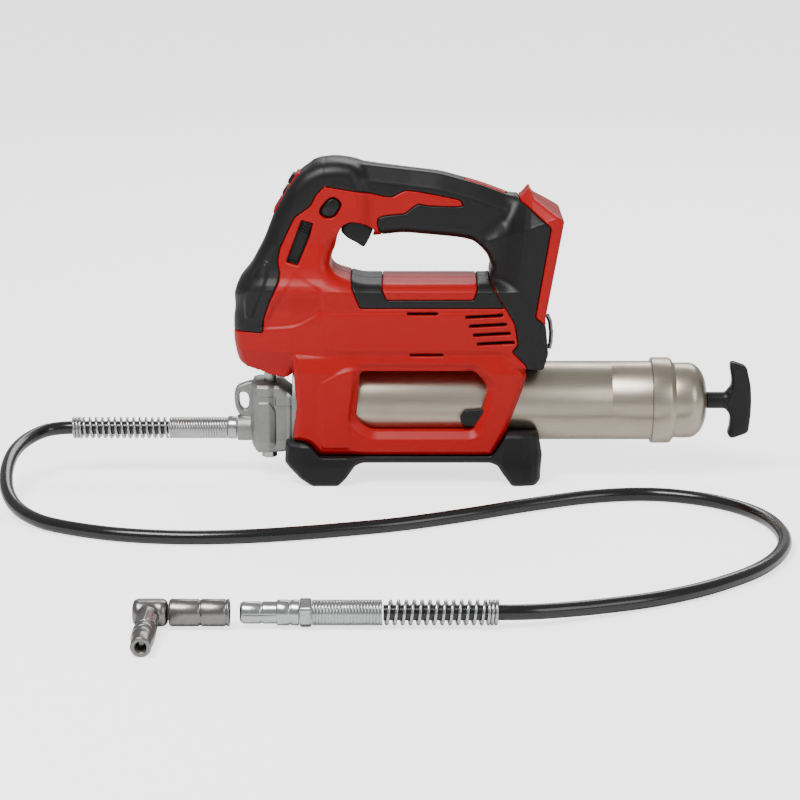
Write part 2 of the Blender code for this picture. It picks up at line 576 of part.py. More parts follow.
def build_head():
    top = BODY_Z - 13.5 * MM
    face = HEAD_FACE
    head = prism("pump_head", [
        (-169.5 * MM, 17.4 * MM), (-151.4 * MM, 17.4 * MM), (-147 * MM, 19.2 * MM), (face, 30 * MM),
        (face, top - 8 * MM), (-152 * MM, top - 1 * MM), (-172 * MM, top), (-184 * MM, top - 4 * MM),
        (-186 * MM, top - 14 * MM), (-184.5 * MM, top - 26 * MM), (-172.3 * MM, top - 27 * MM), (-172.3 * MM, 23 * MM)],
        -HEAD_HALF, HEAD_HALF, CASTING, bevel=2 * MM)
    head_trim = plan([(-187, 0.3), (-176, 0.35), (-173, 0.95), (-165, 1), (-150, 1), (-130, 1)], HEAD_HALF)
    combine(head, prism("head_top_view", head_trim, -0.1, 0.2, axis="Z"), "INTERSECT")
    barrel = (0, 0, AXIS_Z)
    combine(head, rod("head_collar", face - 6 * MM, BARREL_START + 12 * MM, BARREL_RADIUS + COLLAR_WALL, barrel,
                      sides=48), "UNION")
    combine(head, rod("outlet_boss", -184 * MM, -165 * MM, OUTLET_RADIUS, (0, 0, OUTLET_Z), sides=24), "UNION")
    cut(head, rod("cut_pump_bore", OUTLET_Z, 0.2, PLUNGER_RADIUS + 0.15 * MM, (PUMP_X, 0, 0), "Z", sides=20),
        rod("cut_inlet", PUMP_X, -0.12, 2.5 * MM, (0, 0, AXIS_Z - 9 * MM), sides=12),
        rod("cut_outlet", -0.2, PUMP_X, OUTLET_BORE, (0, 0, OUTLET_Z), sides=20),
        rod("cut_vent_bore", 0, OUTLET_Z - 3 * MM, 2.6 * MM, (PUMP_X - 1 * MM, 0, 0), "Z", sides=16),
        prism("cut_lug", [(-182.2 * MM, top - 10 * MM), (-176.5 * MM, top - 9 * MM), (-175 * MM, top - 13 * MM),
                          (-176 * MM, top - 21 * MM), (-179 * MM, top - 22 * MM), (-182 * MM, top - 18 * MM)],
              -0.1, 0.1),
        bored("cut_chamber", (BARREL_START - 24 * MM, BARREL_START - GAP, 0.1), BARREL_RADIUS - 3 * MM,
              BARREL_RADIUS + GAP, barrel))
    valve = rod("bleeder_valve", 12.5 * MM, 17 * MM, 5.6 * MM, (PUMP_X - 1 * MM, 0, 0), "Z", STEEL, 6)
    combine(valve, rod("bleeder_stem", 15 * MM, 27 * MM, 2.2 * MM, (PUMP_X - 1 * MM, 0, 0), "Z", sides=16), "UNION")
    pivot(valve, (PUMP_X - 1 * MM, 0, 14 * MM))
    rod("check_ball", -174 * MM, -169 * MM, 2.8 * MM, (0, 0, OUTLET_Z), finish=STEEL, sides=12)
    line = (0, 0, OUTLET_Z)
    turned("outlet_fitting", [
        (-190.9 * MM, 2 * MM), (-190.9 * MM, 8.6 * MM), (-184.3 * MM, 8.6 * MM), (-184.3 * MM, OUTLET_BORE - GAP),
        (-176 * MM, OUTLET_BORE - GAP), (-176 * MM, 2 * MM)], line, finish=STEEL, sides=24)


# ---- frame feet, pad and barrel -----------------------------------------------------------

def build_base():
    skid = prism("base_skid", mm([
        (-148.2, 32), (-149, 16.5), (-144.8, 12), (-137.7, 5.5), (-129.2, 0), (-110.8, 0), (-105.8, 4.8),
        (-98.7, 14.3), (-93.7, 15.7), (-3, 15.7), (2.6, 14.3), (5.5, 9.9), (12.7, 0), (29.7, 0), (33.2, 4),
        (33.2, 9.2), (34.4, 21.6), (31.5, 38), (4, 38), (-6, 24), (-118, 24), (-126, 32)]),
        -FOOT_WIDTH / 2, FOOT_WIDTH / 2, BLACK)
    foot_trim = plan([(-150, 0.86), (-144, 1), (-104, 1), (-92, 0.8), (-2, 0.8), (6, 1), (28, 1), (36, 0.9)],
                     FOOT_WIDTH / 2)
    combine(skid, prism("skid_top_view", foot_trim, -0.1, 0.1, axis="Z"), "INTERSECT")
    cut(skid, box("cut_head_seat", (-0.2, -HEAD_HALF - 1 * MM, 12 * MM), (HEAD_FACE + 1 * MM, HEAD_HALF + 1 * MM, 0.1)),
        prism("cut_frame_seat", offset(FRAME_OUTLINE, GAP), -0.1, 0.1),
        rod("cut_skid_barrel", -0.2, 0.2, BARREL_RADIUS + RUN_GAP + GAP, (0, 0, AXIS_Z), sides=48),
        rod("cut_skid_collar", -0.2, BARREL_START, BARREL_RADIUS + COLLAR_WALL + GAP, (0, 0, AXIS_Z), sides=48))


def build_barrel():
    axis = (0, 0, AXIS_Z)
    end = BARREL_START + BARREL_LENGTH
    inner = BARREL_RADIUS - BARREL_WALL
    tube("barrel", BARREL_START, end, inner, BARREL_RADIUS, axis, finish=NICKEL, sides=48)
    ring_start = end - CAP_LENGTH + 3 * MM
    ring_end = ring_start + CAP_LENGTH
    outer = BARREL_RADIUS + CAP_WALL
    profile = [(ring_start, BARREL_RADIUS + GAP), (ring_start, outer), (ring_end - 2 * MM, outer),
               (ring_end, BARREL_RADIUS - 1 * MM)]
    bow = [(math.sin(t * math.pi / 8), math.cos(t * math.pi / 8)) for t in range(1, 4)]
    dome = BARREL_RADIUS - 1.2 * MM
    flat = 11 * MM
    profile += [(ring_end + flat + (DOME_LENGTH - flat) * a, 8 * MM + (dome - 8 * MM) * b) for a, b in bow]
    tip = ring_end + DOME_LENGTH
    hole = ROD_RADIUS + RUN_GAP
    profile += [(tip, 8 * MM), (tip, hole), (tip - DOME_WALL, hole), (tip - DOME_WALL - 1 * MM, 8 * MM),
                (ring_end + flat - DOME_WALL, dome - DOME_WALL), (end + GAP, dome - DOME_WALL),
                (end + GAP, BARREL_RADIUS + GAP)]
    turned("barrel_cap", profile, axis, finish=NICKEL, sides=48)
    follower_end = BARREL_START + 4 * MM + FOLLOWER_LENGTH
    fit = inner - RUN_GAP
    socket = ROD_RADIUS + GAP
    turned("follower_cup", [
        (BARREL_START + 4 * MM, 0), (BARREL_START + 4 * MM, fit), (follower_end, fit), (follower_end, fit - 2 * MM),
        (BARREL_START + 8 * MM, fit - 2 * MM), (BARREL_START + 8 * MM, socket + 3 * MM),
        (follower_end - 4 * MM, socket + 3 * MM), (follower_end - 4 * MM, socket), (BARREL_START + 8 * MM, socket),
        (BARREL_START + 8 * MM, 0)], axis, finish=BLACK)
    tube("follower_spring", BARREL_START + 8 * MM + GAP, end, 17 * MM, 20 * MM, axis, finish=STEEL, sides=24)
    stem = tip + 0.6 * MM
    rod("plunger_rod", BARREL_START + 8 * MM + GAP, stem + 8 * MM, ROD_RADIUS, axis, finish=STEEL, sides=16)
    bar = prism("t_handle", [
        (stem, AXIS_Z - HANDLE_STEM_RADIUS), (stem + 15 * MM, AXIS_Z - HANDLE_STEM_RADIUS),
        (stem + 16.5 * MM, AXIS_Z - 19 * MM), (stem + 15 * MM, AXIS_Z - 25 * MM), (stem + 18.5 * MM, AXIS_Z - 28 * MM),
        (stem + 30.5 * MM, AXIS_Z - 24 * MM), (stem + 32 * MM, AXIS_Z - 11 * MM), (stem + 32.4 * MM, AXIS_Z),
        (stem + 31.5 * MM, AXIS_Z + 11 * MM), (stem + 28.5 * MM, AXIS_Z + 25 * MM),
        (stem + 17.5 * MM, AXIS_Z + 29 * MM), (stem + 16 * MM, AXIS_Z + 26 * MM), (stem + 17.8 * MM, AXIS_Z + 15 * MM),
        (stem + 16 * MM, AXIS_Z + HANDLE_STEM_RADIUS), (stem, AXIS_Z + HANDLE_STEM_RADIUS)],
        -HANDLE_STEM_RADIUS, HANDLE_STEM_RADIUS, BLACK, bevel=2 * MM)
    cut(bar, rod("cut_rod_socket", 0, stem + 8 * MM + GAP, ROD_RADIUS + GAP, axis, sides=20))


# ---- hose ---------------------------------------------------------------------------------

def smooth_route(points, spacing):
    """Points at even steps along a Catmull-Rom curve through the route."""
    knots = [Vector(p) * MM for p in points]
    fine = []
    for i in range(len(knots) - 1):
        a, b = knots[max(i - 1, 0)], knots[i]
        c, d = knots[i + 1], knots[min(i + 2, len(knots) - 1)]
        for step in range(24):
            t = step / 24
            fine.append(0.5 * (2 * b + (c - a) * t + (2 * a - 5 * b + 4 * c - d) * t * t
                               + (3 * b - a - 3 * c + d) * t ** 3))
    fine.append(knots[-1])
    total = sum((q - p).length for p, q in zip(fine, fine[1:]))
    count = round(total / spacing)
    even, walked, target = [fine[0]], 0, total / count
    for p, q in zip(fine, fine[1:]):
        walked += (q - p).length
        if walked >= target and len(even) < count:
            even.append(q)
            target += total / count
    return even + [fine[-1]]


def build_hose():
    curve = bpy.data.curves.new("hose", "CURVE")
    route = smooth_route(HOSE_ROUTE, 2 * HOSE_DIAMETER)
    line = curve.splines.new("POLY")
    line.points.add(len(route) - 1)
    for point, place in zip(line.points, route):
        point.co = (*place, 1)
    finish_cord(curve, "hose", HOSE_DIAMETER / 2, BLACK)
    near = (0, 0, OUTLET_Z - 0.3 * MM)
    far = (0, LINE_Y, LINE_Z)
    tube("ferrule_gun_end", -232.7 * MM, -191.3 * MM, 2 * MM, FERRULE_RADIUS, near, finish=STEEL, sides=24)
    tube("spring_guard_gun_end", -305 * MM, -233.1 * MM, GUARD_RADIUS - GUARD_WALL, GUARD_RADIUS, near,
         finish=STEEL, sides=24)
    tube("spring_guard_far_end", -76.6 * MM, -6 * MM, GUARD_RADIUS - GUARD_WALL, GUARD_RADIUS, far, finish=STEEL,
         sides=24)
    tube("ferrule_far_end", -119 * MM, -77.4 * MM, 2 * MM, FERRULE_RADIUS, far, finish=STEEL, sides=24)
    tube("lock_nut", -126.4 * MM, -119.4 * MM, 4 * MM, 9.1 * MM, far, finish=STEEL, sides=6)
    nose = [(-161.9 * MM, 1.5 * MM), (-161.9 * MM, COUPLER_RADIUS - 1 * MM), (-160.5 * MM, COUPLER_RADIUS),
            (-139.8 * MM, COUPLER_RADIUS), (-139 * MM, COUPLER_RADIUS + 1.1 * MM), (-126.8 * MM, COUPLER_RADIUS + 1.1 * MM),
            (-126.8 * MM, 1.5 * MM)]
    turned("grease_coupler", nose, far, finish=STEEL, sides=24)


def build_adapter():
    axis = (0, LINE_Y, LINE_Z)
    bore = COUPLER_RADIUS + RUN_GAP
    turned("adapter_sleeve", [
        (-204 * MM, 2 * MM), (-204 * MM, SLEEVE_RADIUS), (-168 * MM, SLEEVE_RADIUS), (-168 * MM, bore),
        (-190 * MM, bore), (-190 * MM, 2 * MM)], axis, finish=STEEL, sides=24)
    head = rod("adapter_elbow", -226 * MM, -204.4 * MM, 9 * MM, axis, finish=STEEL, sides=24)
    lean = Matrix.Rotation(math.radians(3), 4, "X")
    elbow_x = -216 * MM
    arm = rod("elbow_arm", 0, 32 * MM, 6.6 * MM, (0, 0, 0), "Y", sides=24)
    arm.data.transform(Matrix.Translation((elbow_x, LINE_Y, LINE_Z)) @ lean @ Matrix.Scale(-1, 4, (0, 1, 0)))
    arm.data.flip_normals()
    combine(head, arm, "UNION")
    tip = turned("adapter_coupler", [
        (32.4 * MM, 1.5 * MM), (32.4 * MM, 7 * MM), (46 * MM, 7 * MM), (48 * MM, 6.2 * MM), (58 * MM, 6.2 * MM),
        (58 * MM, 3.5 * MM), (50 * MM, 1.5 * MM)], (0, 0, 0), "Y", STEEL, 24)
    tip.data.transform(Matrix.Translation((elbow_x, LINE_Y, LINE_Z)) @ lean @ Matrix.Scale(-1, 4, (0, 1, 0)))
    tip.data.flip_normals()


def build_screws():
    for i, (x, z) in enumerate(above_body(SCREW_PLACES)):
        seat = BODY_HALF - 11 * MM + GAP
        turned(f"housing_screw_{i + 1}", [
            (-10 * MM, 0), (-10 * MM, SCREW_RADIUS), (seat, SCREW_RADIUS), (seat, SCREW_HEAD_RADIUS),
            (seat + 2.4 * MM, SCREW_HEAD_RADIUS), (seat + 2.4 * MM, 0)], (x, 0, z), "Y", STEEL, 12)


def main():
    for old in list(bpy.data.objects):
        bpy.data.objects.remove(old)
    build_housing()
    build_controls()
    build_battery_mount()
    build_drive()
    build_head()
    build_base()
    build_barrel()
    build_hose()
    build_adapter()
    build_screws()


main()
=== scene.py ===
# Battery grease gun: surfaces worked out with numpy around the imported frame.
# Sizes are in millimetres until they become meshes.
import math
import bpy
import numpy as np
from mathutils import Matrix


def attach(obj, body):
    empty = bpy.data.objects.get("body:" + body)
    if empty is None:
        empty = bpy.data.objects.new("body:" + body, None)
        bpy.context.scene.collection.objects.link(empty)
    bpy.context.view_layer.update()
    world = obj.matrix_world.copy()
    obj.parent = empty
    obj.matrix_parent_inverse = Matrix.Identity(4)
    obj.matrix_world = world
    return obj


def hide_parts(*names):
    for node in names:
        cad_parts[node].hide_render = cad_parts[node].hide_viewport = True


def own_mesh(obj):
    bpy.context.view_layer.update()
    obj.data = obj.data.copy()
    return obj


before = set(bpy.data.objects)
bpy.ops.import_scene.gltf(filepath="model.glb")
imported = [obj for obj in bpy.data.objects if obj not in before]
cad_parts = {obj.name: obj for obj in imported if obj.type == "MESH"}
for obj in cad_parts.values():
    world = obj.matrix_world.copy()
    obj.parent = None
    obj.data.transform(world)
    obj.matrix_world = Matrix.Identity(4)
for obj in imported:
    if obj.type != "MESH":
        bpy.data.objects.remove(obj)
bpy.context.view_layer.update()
print("frame loaded:", len(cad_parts), "nodes")


# ---- mesh helpers

def finishMesh(name, mesh, material, body, node=None):
    mesh.validate()
    mesh.shade_smooth()
    mesh.materials.append(material)
    piece = bpy.data.objects.new(name, mesh)
    bpy.context.scene.collection.objects.link(piece)
    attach(piece, body)
    if node:
        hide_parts(*([node] if isinstance(node, str) else node))
    return piece


def quadMesh(name, points, quads):
    mesh = bpy.data.meshes.new(name)
    mesh.vertices.add(len(points))
    mesh.vertices.foreach_set("co", (points / 1000).astype(np.float32).ravel())
    mesh.loops.add(quads.size)
    mesh.loops.foreach_set("vertex_index", quads.astype(np.int32).ravel())
    mesh.polygons.add(len(quads))
    mesh.polygons.foreach_set("loop_start", np.arange(0, quads.size, 4, dtype=np.int32))
    mesh.update(calc_edges=True)
    return mesh


def gridFaces(rows, columns, closeRows=False):
    # quads of a grid whose columns wrap round; rows wrap too on a ring-shaped piece
    i = np.arange(rows if closeRows else rows - 1)[:, None]
    j = np.arange(columns)[None, :]
    k, m = (i + 1) % rows, (j + 1) % columns
    return np.stack([i * columns + j, i * columns + m, k * columns + m, k * columns + j], -1).reshape(-1, 4)


def turned(name, profile, centre, direction, material, body, node=None, sides=96, ripple=None, capped=True):
    # a profile of (along, radius) turned about an axis; ripple(along, angle) is added to the radius
    along, radius = np.array(profile, float).T
    angle = np.linspace(0, 2 * np.pi, sides, endpoint=False)
    t = np.array(direction, float) / np.linalg.norm(direction)
    u = np.cross(t, (0, 0, 1) if abs(t[2]) < 0.9 else (1, 0, 0))
    u /= np.linalg.norm(u)
    v = np.cross(t, u)
    reach = np.repeat(radius[:, None], sides, 1)
    if ripple:
        reach = reach + ripple(along[:, None], angle[None, :])
    ring = np.cos(angle)[:, None] * u + np.sin(angle)[:, None] * v
    points = np.array(centre, float) + along[:, None, None] * t + reach[..., None] * ring[None]
    faces = gridFaces(len(along), sides, closeRows=not capped)
    mesh = bpy.data.meshes.new(name)
    count = len(along) * sides
    quads = faces[:, ::-1].tolist()
    if capped:
        quads += [list(range(sides)), list(range(count - 1, count - sides - 1, -1))]
    mesh.from_pydata((points.reshape(-1, 3) / 1000).tolist(), [], quads)
    piece = finishMesh(name, mesh, material, body, node)
    outward(piece)
    mesh.set_sharp_from_angle(angle=math.radians(38))
    return piece


def outward(piece):
    # turns the faces outwards where the signed volume says that they point in
    mesh = piece.data
    mesh.calc_loop_triangles()
    index = np.empty(len(mesh.loop_triangles) * 3, np.int32)
    mesh.loop_triangles.foreach_get("vertices", index)
    place = np.empty(len(mesh.vertices) * 3)
    mesh.vertices.foreach_get("co", place)
    a, b, c = place.reshape(-1, 3)[index.reshape(-1, 3)].transpose(1, 0, 2)
    if np.sum(a * np.cross(b, c)) < 0:
        mesh.flip_normals()


def softProfile(points, bevel):
    # a profile of straight runs whose corners are cut by a small bevel
    made = [points[0]]
    for before, here, after in zip(points, points[1:], points[2:]):
        here, before, after = (np.array(p, float) for p in (here, before, after))
        for other in (before, after):
            gap = other - here
            length = max(np.linalg.norm(gap), 1e-6)
            made.append(tuple(here + gap * min(bevel, 0.4 * length) / length))
    return made + [points[-1]]


def sweep(points, radius, sides):
    # a round section carried along a line, with its frame turned as little as possible from point to point
    p = np.array(points, float)
    t = np.gradient(p, axis=0)
    t /= np.linalg.norm(t, axis=1)[:, None]
    u = np.cross(t[0], (0, 0, 1) if abs(t[0][2]) < 0.9 else (1, 0, 0))
    across = []
    for direction in t:
        u = u - direction * np.dot(u, direction)
        u /= np.linalg.norm(u)
        across.append(u)
    across = np.array(across)
    side = np.cross(t, across)
    angle = np.linspace(0, 2 * np.pi, sides, endpoint=False)
    reach = np.broadcast_to(np.asarray(radius, float), (len(p),))[:, None, None]
    return p[:, None] + reach * (np.cos(angle)[None, :, None] * across[:, None]
                                 + np.sin(angle)[None, :, None] * side[:, None])


def swept(name, points, radius, material, body, node=None, sides=16):
    rings = sweep(points, radius, sides)
    count = rings.shape[0] * sides
    quads = gridFaces(rings.shape[0], sides)[:, ::-1].tolist()
    quads += [list(range(sides)), list(range(count - 1, count - sides - 1, -1))]
    mesh = bpy.data.meshes.new(name)
    mesh.from_pydata((rings.reshape(-1, 3) / 1000).tolist(), [], quads)
    piece = finishMesh(name, mesh, material, body, node)
    outward(piece)
    mesh.set_sharp_from_angle(angle=math.radians(60))
    return piece


# ---- distance fields: negative inside, in millimetres

def rounded(points, radius):
    # each corner becomes a short quadratic curve that starts a radius away from it
    p = np.array(points, float)
    made = []
    for before, here, after in zip(np.roll(p, 1, 0), p, np.roll(p, -1, 0)):
        a = here + (before - here) * min(0.45, radius / max(np.linalg.norm(before - here), 1e-6))
        b = here + (after - here) * min(0.45, radius / max(np.linalg.norm(after - here), 1e-6))
        for t in (0, 0.33, 0.67, 1):
            made.append((1 - t) ** 2 * a + 2 * t * (1 - t) * here + t * t * b)
    return np.array(made)


def outlineField(points, radius=0):
    # distance to the nearest side of a closed outline, with its sign from a crossing count
    a = rounded(points, radius) if radius else np.array(points, float)
    b = np.roll(a, -1, 0)

    def distance(u, v):
        best, inside = 1e9, False
        for (au, av), (bu, bv) in zip(a, b):
            eu, ev, pu, pv = bu - au, bv - av, u - au, v - av
            t = np.clip((pu * eu + pv * ev) / (eu * eu + ev * ev + 1e-12), 0, 1)
            best = np.minimum(best, (pu - t * eu) ** 2 + (pv - t * ev) ** 2)
            inside = inside ^ (((av > v) != (bv > v)) & (pu < eu * pv / (ev if ev else 1e-9)))
        return np.where(inside, -1, 1) * np.sqrt(best)
    return distance


def both(a, b, radius=0.0):
    # what lies in both shapes, with the edge between them rounded
    if not radius:
        return np.maximum(a, b)
    p, q = a + radius, b + radius
    return np.minimum(np.maximum(p, q), 0) + np.hypot(np.maximum(p, 0), np.maximum(q, 0)) - radius


def either(a, b, blend=0.0):
    # what lies in either shape, with the corner between them filled by a blend
    if not blend:
        return np.minimum(a, b)
    share = np.clip(0.5 + 0.5 * (b - a) / blend, 0, 1)
    return b + (a - b) * share - blend * share * (1 - share)


def without(a, b, radius=0.0):
    return both(a, -b, radius)


def block(x, y, z, low, high, radius=0.5):
    # a box with rounded edges: the length of the overshoot on all three axes
    middle = [(l + h) / 2 for l, h in zip(low, high)]
    half = [(h - l) / 2 - radius for l, h in zip(low, high)]
    over = [np.abs(value - m) - s for value, m, s in zip((x, y, z), middle, half)]
    outside = np.sqrt(sum(np.maximum(o, 0) ** 2 for o in over))
    return outside + np.minimum(np.maximum(over[0], np.maximum(over[1], over[2])), 0) - radius


def swell(distance, height, width):
    # a raised or sunk area: a smooth step from 0 outside to a height inside
    s = np.clip(0.5 - distance / width, 0, 1)
    return height * s * s * (3 - 2 * s)


def fieldSurface(name, field, low, high, step, material, body, node=None):
    # surface nets: one point in each grid cell that the surface crosses, at the mean of its edge crossings,
    # moved onto the surface along the field's gradient; one quad round each crossed grid edge
    axes = [np.arange(l - 2 * step, h + 2.1 * step, step) for l, h in zip(low, high)]
    x, y, z = np.meshgrid(*axes, indexing="ij", sparse=True)
    values = np.broadcast_to(field(x, y, z), tuple(len(a) for a in axes)).astype(np.float32)
    inside = values < 0
    shape = tuple(n - 1 for n in values.shape)
    total = np.zeros(shape + (3,), np.float32)
    count = np.zeros(shape, np.float32)
    grid = np.meshgrid(*[np.arange(n, dtype=np.float32) for n in values.shape], indexing="ij", sparse=True)
    quads = []
    crossings = []
    halves = (slice(None, -1), slice(1, None))
    for axis in range(3):
        lower = [slice(None)] * 3
        upper = [slice(None)] * 3
        lower[axis], upper[axis] = slice(None, -1), slice(1, None)
        a, b = values[tuple(lower)], values[tuple(upper)]
        crossed = inside[tuple(lower)] != inside[tuple(upper)]
        share = np.where(crossed, a / np.where(crossed, a - b, 1), 0)
        crossings.append((crossed, inside[tuple(lower)]))
        places = [np.broadcast_to(grid[n][tuple(lower)] if n == axis else grid[n], crossed.shape)
                  for n in range(3)]
        others = [n for n in range(3) if n != axis]
        for first in halves:
            for second in halves:
                part = [slice(None)] * 3
                part[others[0]], part[others[1]] = first, second
                part = tuple(part)
                mask = crossed[part]
                count += mask
                for n in range(3):
                    value = places[n][part] + (share[part] if n == axis else 0)
                    total[..., n] += np.where(mask, value, 0)
    used = count > 0
    index = np.full(shape, -1, np.int64)
    index[used] = np.arange(used.sum())
    points = total[used] / count[used][:, None] * step + np.array([a[0] for a in axes])
    for axis, (crossed, lowInside) in enumerate(crossings):
        others = [n for n in range(3) if n != axis]
        part = [slice(None)] * 3
        part[others[0]], part[others[1]] = slice(1, -1), slice(1, -1)
        place = np.argwhere(crossed[tuple(part)])
        place[:, others[0]] += 1
        place[:, others[1]] += 1
        corners = []
        for s, t in ((1, 1), (0, 1), (0, 0), (1, 0)):
            cell = place.copy()
            cell[:, others[0]] -= s
            cell[:, others[1]] -= t
            corners.append(index[tuple(cell.T)])
        corners = np.stack(corners, 1)
        flip = lowInside[tuple(place.T)] ^ (axis == 1)
        corners[~flip] = corners[~flip][:, ::-1]
        quads.append(corners)
    reach = 0.12
    for repeat in range(3):
        px, py, pz = points.T
        here = field(px, py, pz)
        slope = np.stack([field(px + reach, py, pz) - field(px - reach, py, pz),
                          field(px, py + reach, pz) - field(px, py - reach, pz),
                          field(px, py, pz + reach) - field(px, py, pz - reach)], 1) / (2 * reach)
        move = here[:, None] * slope / np.maximum((slope ** 2).sum(1), 0.25)[:, None]
        points = points - np.clip(move, -0.5 * step, 0.5 * step)
    mesh = quadMesh(name, points, np.concatenate(quads)[:, ::-1])
    piece = finishMesh(name, mesh, material, body, node)
    outward(piece)
    return piece


# ---- finishes

def newGroup(name, inputs, outputs):
    group = bpy.data.node_groups.new(name, "ShaderNodeTree")
    for label, kind, value in inputs:
        socket = group.interface.new_socket(label, in_out="INPUT", socket_type=kind)
        socket.default_value = value
    for label, kind in outputs:
        group.interface.new_socket(label, in_out="OUTPUT", socket_type=kind)
    nodes, links = group.nodes, group.links
    return group, nodes, links, nodes.new("NodeGroupInput"), nodes.new("NodeGroupOutput")


def math2(nodes, links, operation, a, b, c=None):
    node = nodes.new("ShaderNodeMath")
    node.operation = operation
    for socket, value in zip(node.inputs, (a, b, c)):
        if value is None:
            continue
        if hasattr(value, "default_value"):
            links.new(value, socket)
        else:
            socket.default_value = value
    return node.outputs[0]


def noise(nodes, links, where, scale, detail=3, roughness=0.5):
    node = nodes.new("ShaderNodeTexNoise")
    links.new(where, node.inputs["Vector"])
    if hasattr(scale, "default_value"):
        links.new(scale, node.inputs["Scale"])
    else:
        node.inputs["Scale"].default_value = scale
    node.inputs["Detail"].default_value = detail
    node.inputs["Roughness"].default_value = roughness
    return node.outputs[0]


def mixColour(nodes, links, factor, a, b):
    node = nodes.new("ShaderNodeMix")
    node.data_type = "RGBA"
    for socket, value in ((node.inputs[0], factor), (node.inputs[6], a), (node.inputs[7], b)):
        if hasattr(value, "default_value"):
            links.new(value, socket)
        else:
            socket.default_value = value
    return node.outputs[2]


def makeMoulded():
    # moulded plastic and rubber: fine spark grain, slow tone drift and dust that lies on faces turned up
    group, nodes, links, entry, leave = newGroup("mouldedSurface", [
        ("Colour", "NodeSocketColor", (0.5, 0.5, 0.5, 1)),
        ("Worn Colour", "NodeSocketColor", (0.6, 0.6, 0.6, 1)),
        ("Grain Scale", "NodeSocketFloat", 2500.0), ("Roughness", "NodeSocketFloat", 0.4),
        ("Drift", "NodeSocketFloat", 0.2), ("Dust", "NodeSocketFloat", 0.1)],
        [("Colour", "NodeSocketColor"), ("Roughness", "NodeSocketFloat"), ("Height", "NodeSocketFloat")])
    where = nodes.new("ShaderNodeTexCoord").outputs["Object"]
    grain = noise(nodes, links, where, entry.outputs["Grain Scale"], 2, 0.6)
    slow = noise(nodes, links, where, 22.0, 3)
    cloud = noise(nodes, links, where, 140.0, 4, 0.65)
    facing = nodes.new("ShaderNodeNewGeometry").outputs["Normal"]
    split = nodes.new("ShaderNodeSeparateXYZ")
    links.new(facing, split.inputs[0])
    up = math2(nodes, links, "MULTIPLY", math2(nodes, links, "MAXIMUM", split.outputs[2], 0.0), cloud)
    drift = math2(nodes, links, "MULTIPLY", math2(nodes, links, "SUBTRACT", slow, 0.3),
                  entry.outputs["Drift"])
    tone = math2(nodes, links, "ADD", drift, math2(nodes, links, "MULTIPLY", up, entry.outputs["Dust"]))
    tone = math2(nodes, links, "MINIMUM", math2(nodes, links, "MAXIMUM", tone, 0.0), 1.0)
    links.new(mixColour(nodes, links, tone, entry.outputs["Colour"], entry.outputs["Worn Colour"]),
              leave.inputs["Colour"])
    rough = math2(nodes, links, "MULTIPLY_ADD", math2(nodes, links, "SUBTRACT", grain, 0.5), 0.25,
                  entry.outputs["Roughness"])
    rough = math2(nodes, links, "ADD", rough, math2(nodes, links, "MULTIPLY", up, 0.12))
    links.new(rough, leave.inputs["Roughness"])
    links.new(grain, leave.inputs["Height"])
    return group


def makeMetalled():
    # metal: stretched brushing noise and cloudy tarnish
    group, nodes, links, entry, leave = newGroup("metalSurface", [
        ("Colour", "NodeSocketColor", (0.5, 0.5, 0.5, 1)),
        ("Dark Colour", "NodeSocketColor", (0.2, 0.2, 0.2, 1)),
        ("Stretch", "NodeSocketVector", (1.0, 1.0, 1.0)), ("Line Scale", "NodeSocketFloat", 900.0),
        ("Roughness", "NodeSocketFloat", 0.3), ("Tarnish", "NodeSocketFloat", 0.3)],
        [("Colour", "NodeSocketColor"), ("Roughness", "NodeSocketFloat"), ("Height", "NodeSocketFloat")])
    where = nodes.new("ShaderNodeTexCoord").outputs["Object"]
    stretched = nodes.new("ShaderNodeVectorMath")
    stretched.operation = "MULTIPLY"
    links.new(where, stretched.inputs[0])
    links.new(entry.outputs["Stretch"], stretched.inputs[1])
    lines = noise(nodes, links, stretched.outputs[0], entry.outputs["Line Scale"], 3, 0.6)
    cloud = noise(nodes, links, where, 60.0, 4, 0.6)
    tone = math2(nodes, links, "MULTIPLY", math2(nodes, links, "MULTIPLY", cloud, lines),
                 entry.outputs["Tarnish"])
    tone = math2(nodes, links, "MULTIPLY", tone, 2.0)
    links.new(mixColour(nodes, links, tone, entry.outputs["Colour"], entry.outputs["Dark Colour"]),
              leave.inputs["Colour"])
    rough = math2(nodes, links, "MULTIPLY_ADD", math2(nodes, links, "SUBTRACT", lines, 0.5), 0.3,
                  entry.outputs["Roughness"])
    rough = math2(nodes, links, "ADD", rough, math2(nodes, links, "MULTIPLY", cloud, 0.08))
    links.new(rough, leave.inputs["Roughness"])
    links.new(lines, leave.inputs["Height"])
    return group


moulded = makeMoulded()
metalled = makeMetalled()


def makeFinish(name, group, settings, bump, metallic=0.0, coat=0.0, specular=0.5):
    material = bpy.data.materials.new(name)
    material.use_nodes = True
    nodes, links = material.node_tree.nodes, material.node_tree.links
    shader = nodes["Principled BSDF"]
    part = nodes.new("ShaderNodeGroup")
    part.node_tree = group
    for label, value in settings.items():
        part.inputs[label].default_value = value
    links.new(part.outputs["Colour"], shader.inputs["Base Color"])
    links.new(part.outputs["Roughness"], shader.inputs["Roughness"])
    height = nodes.new("ShaderNodeBump")
    height.inputs["Strength"].default_value = bump
    height.inputs["Distance"].default_value = 0.0002
    links.new(part.outputs["Height"], height.inputs["Height"])
    links.new(height.outputs[0], shader.inputs["Normal"])
    shader.inputs["Metallic"].default_value = metallic
    shader.inputs["Coat Weight"].default_value = coat
    shader.inputs["Coat Roughness"].default_value = 0.25
    shader.inputs["Specular IOR Level"].default_value = specular
    return material


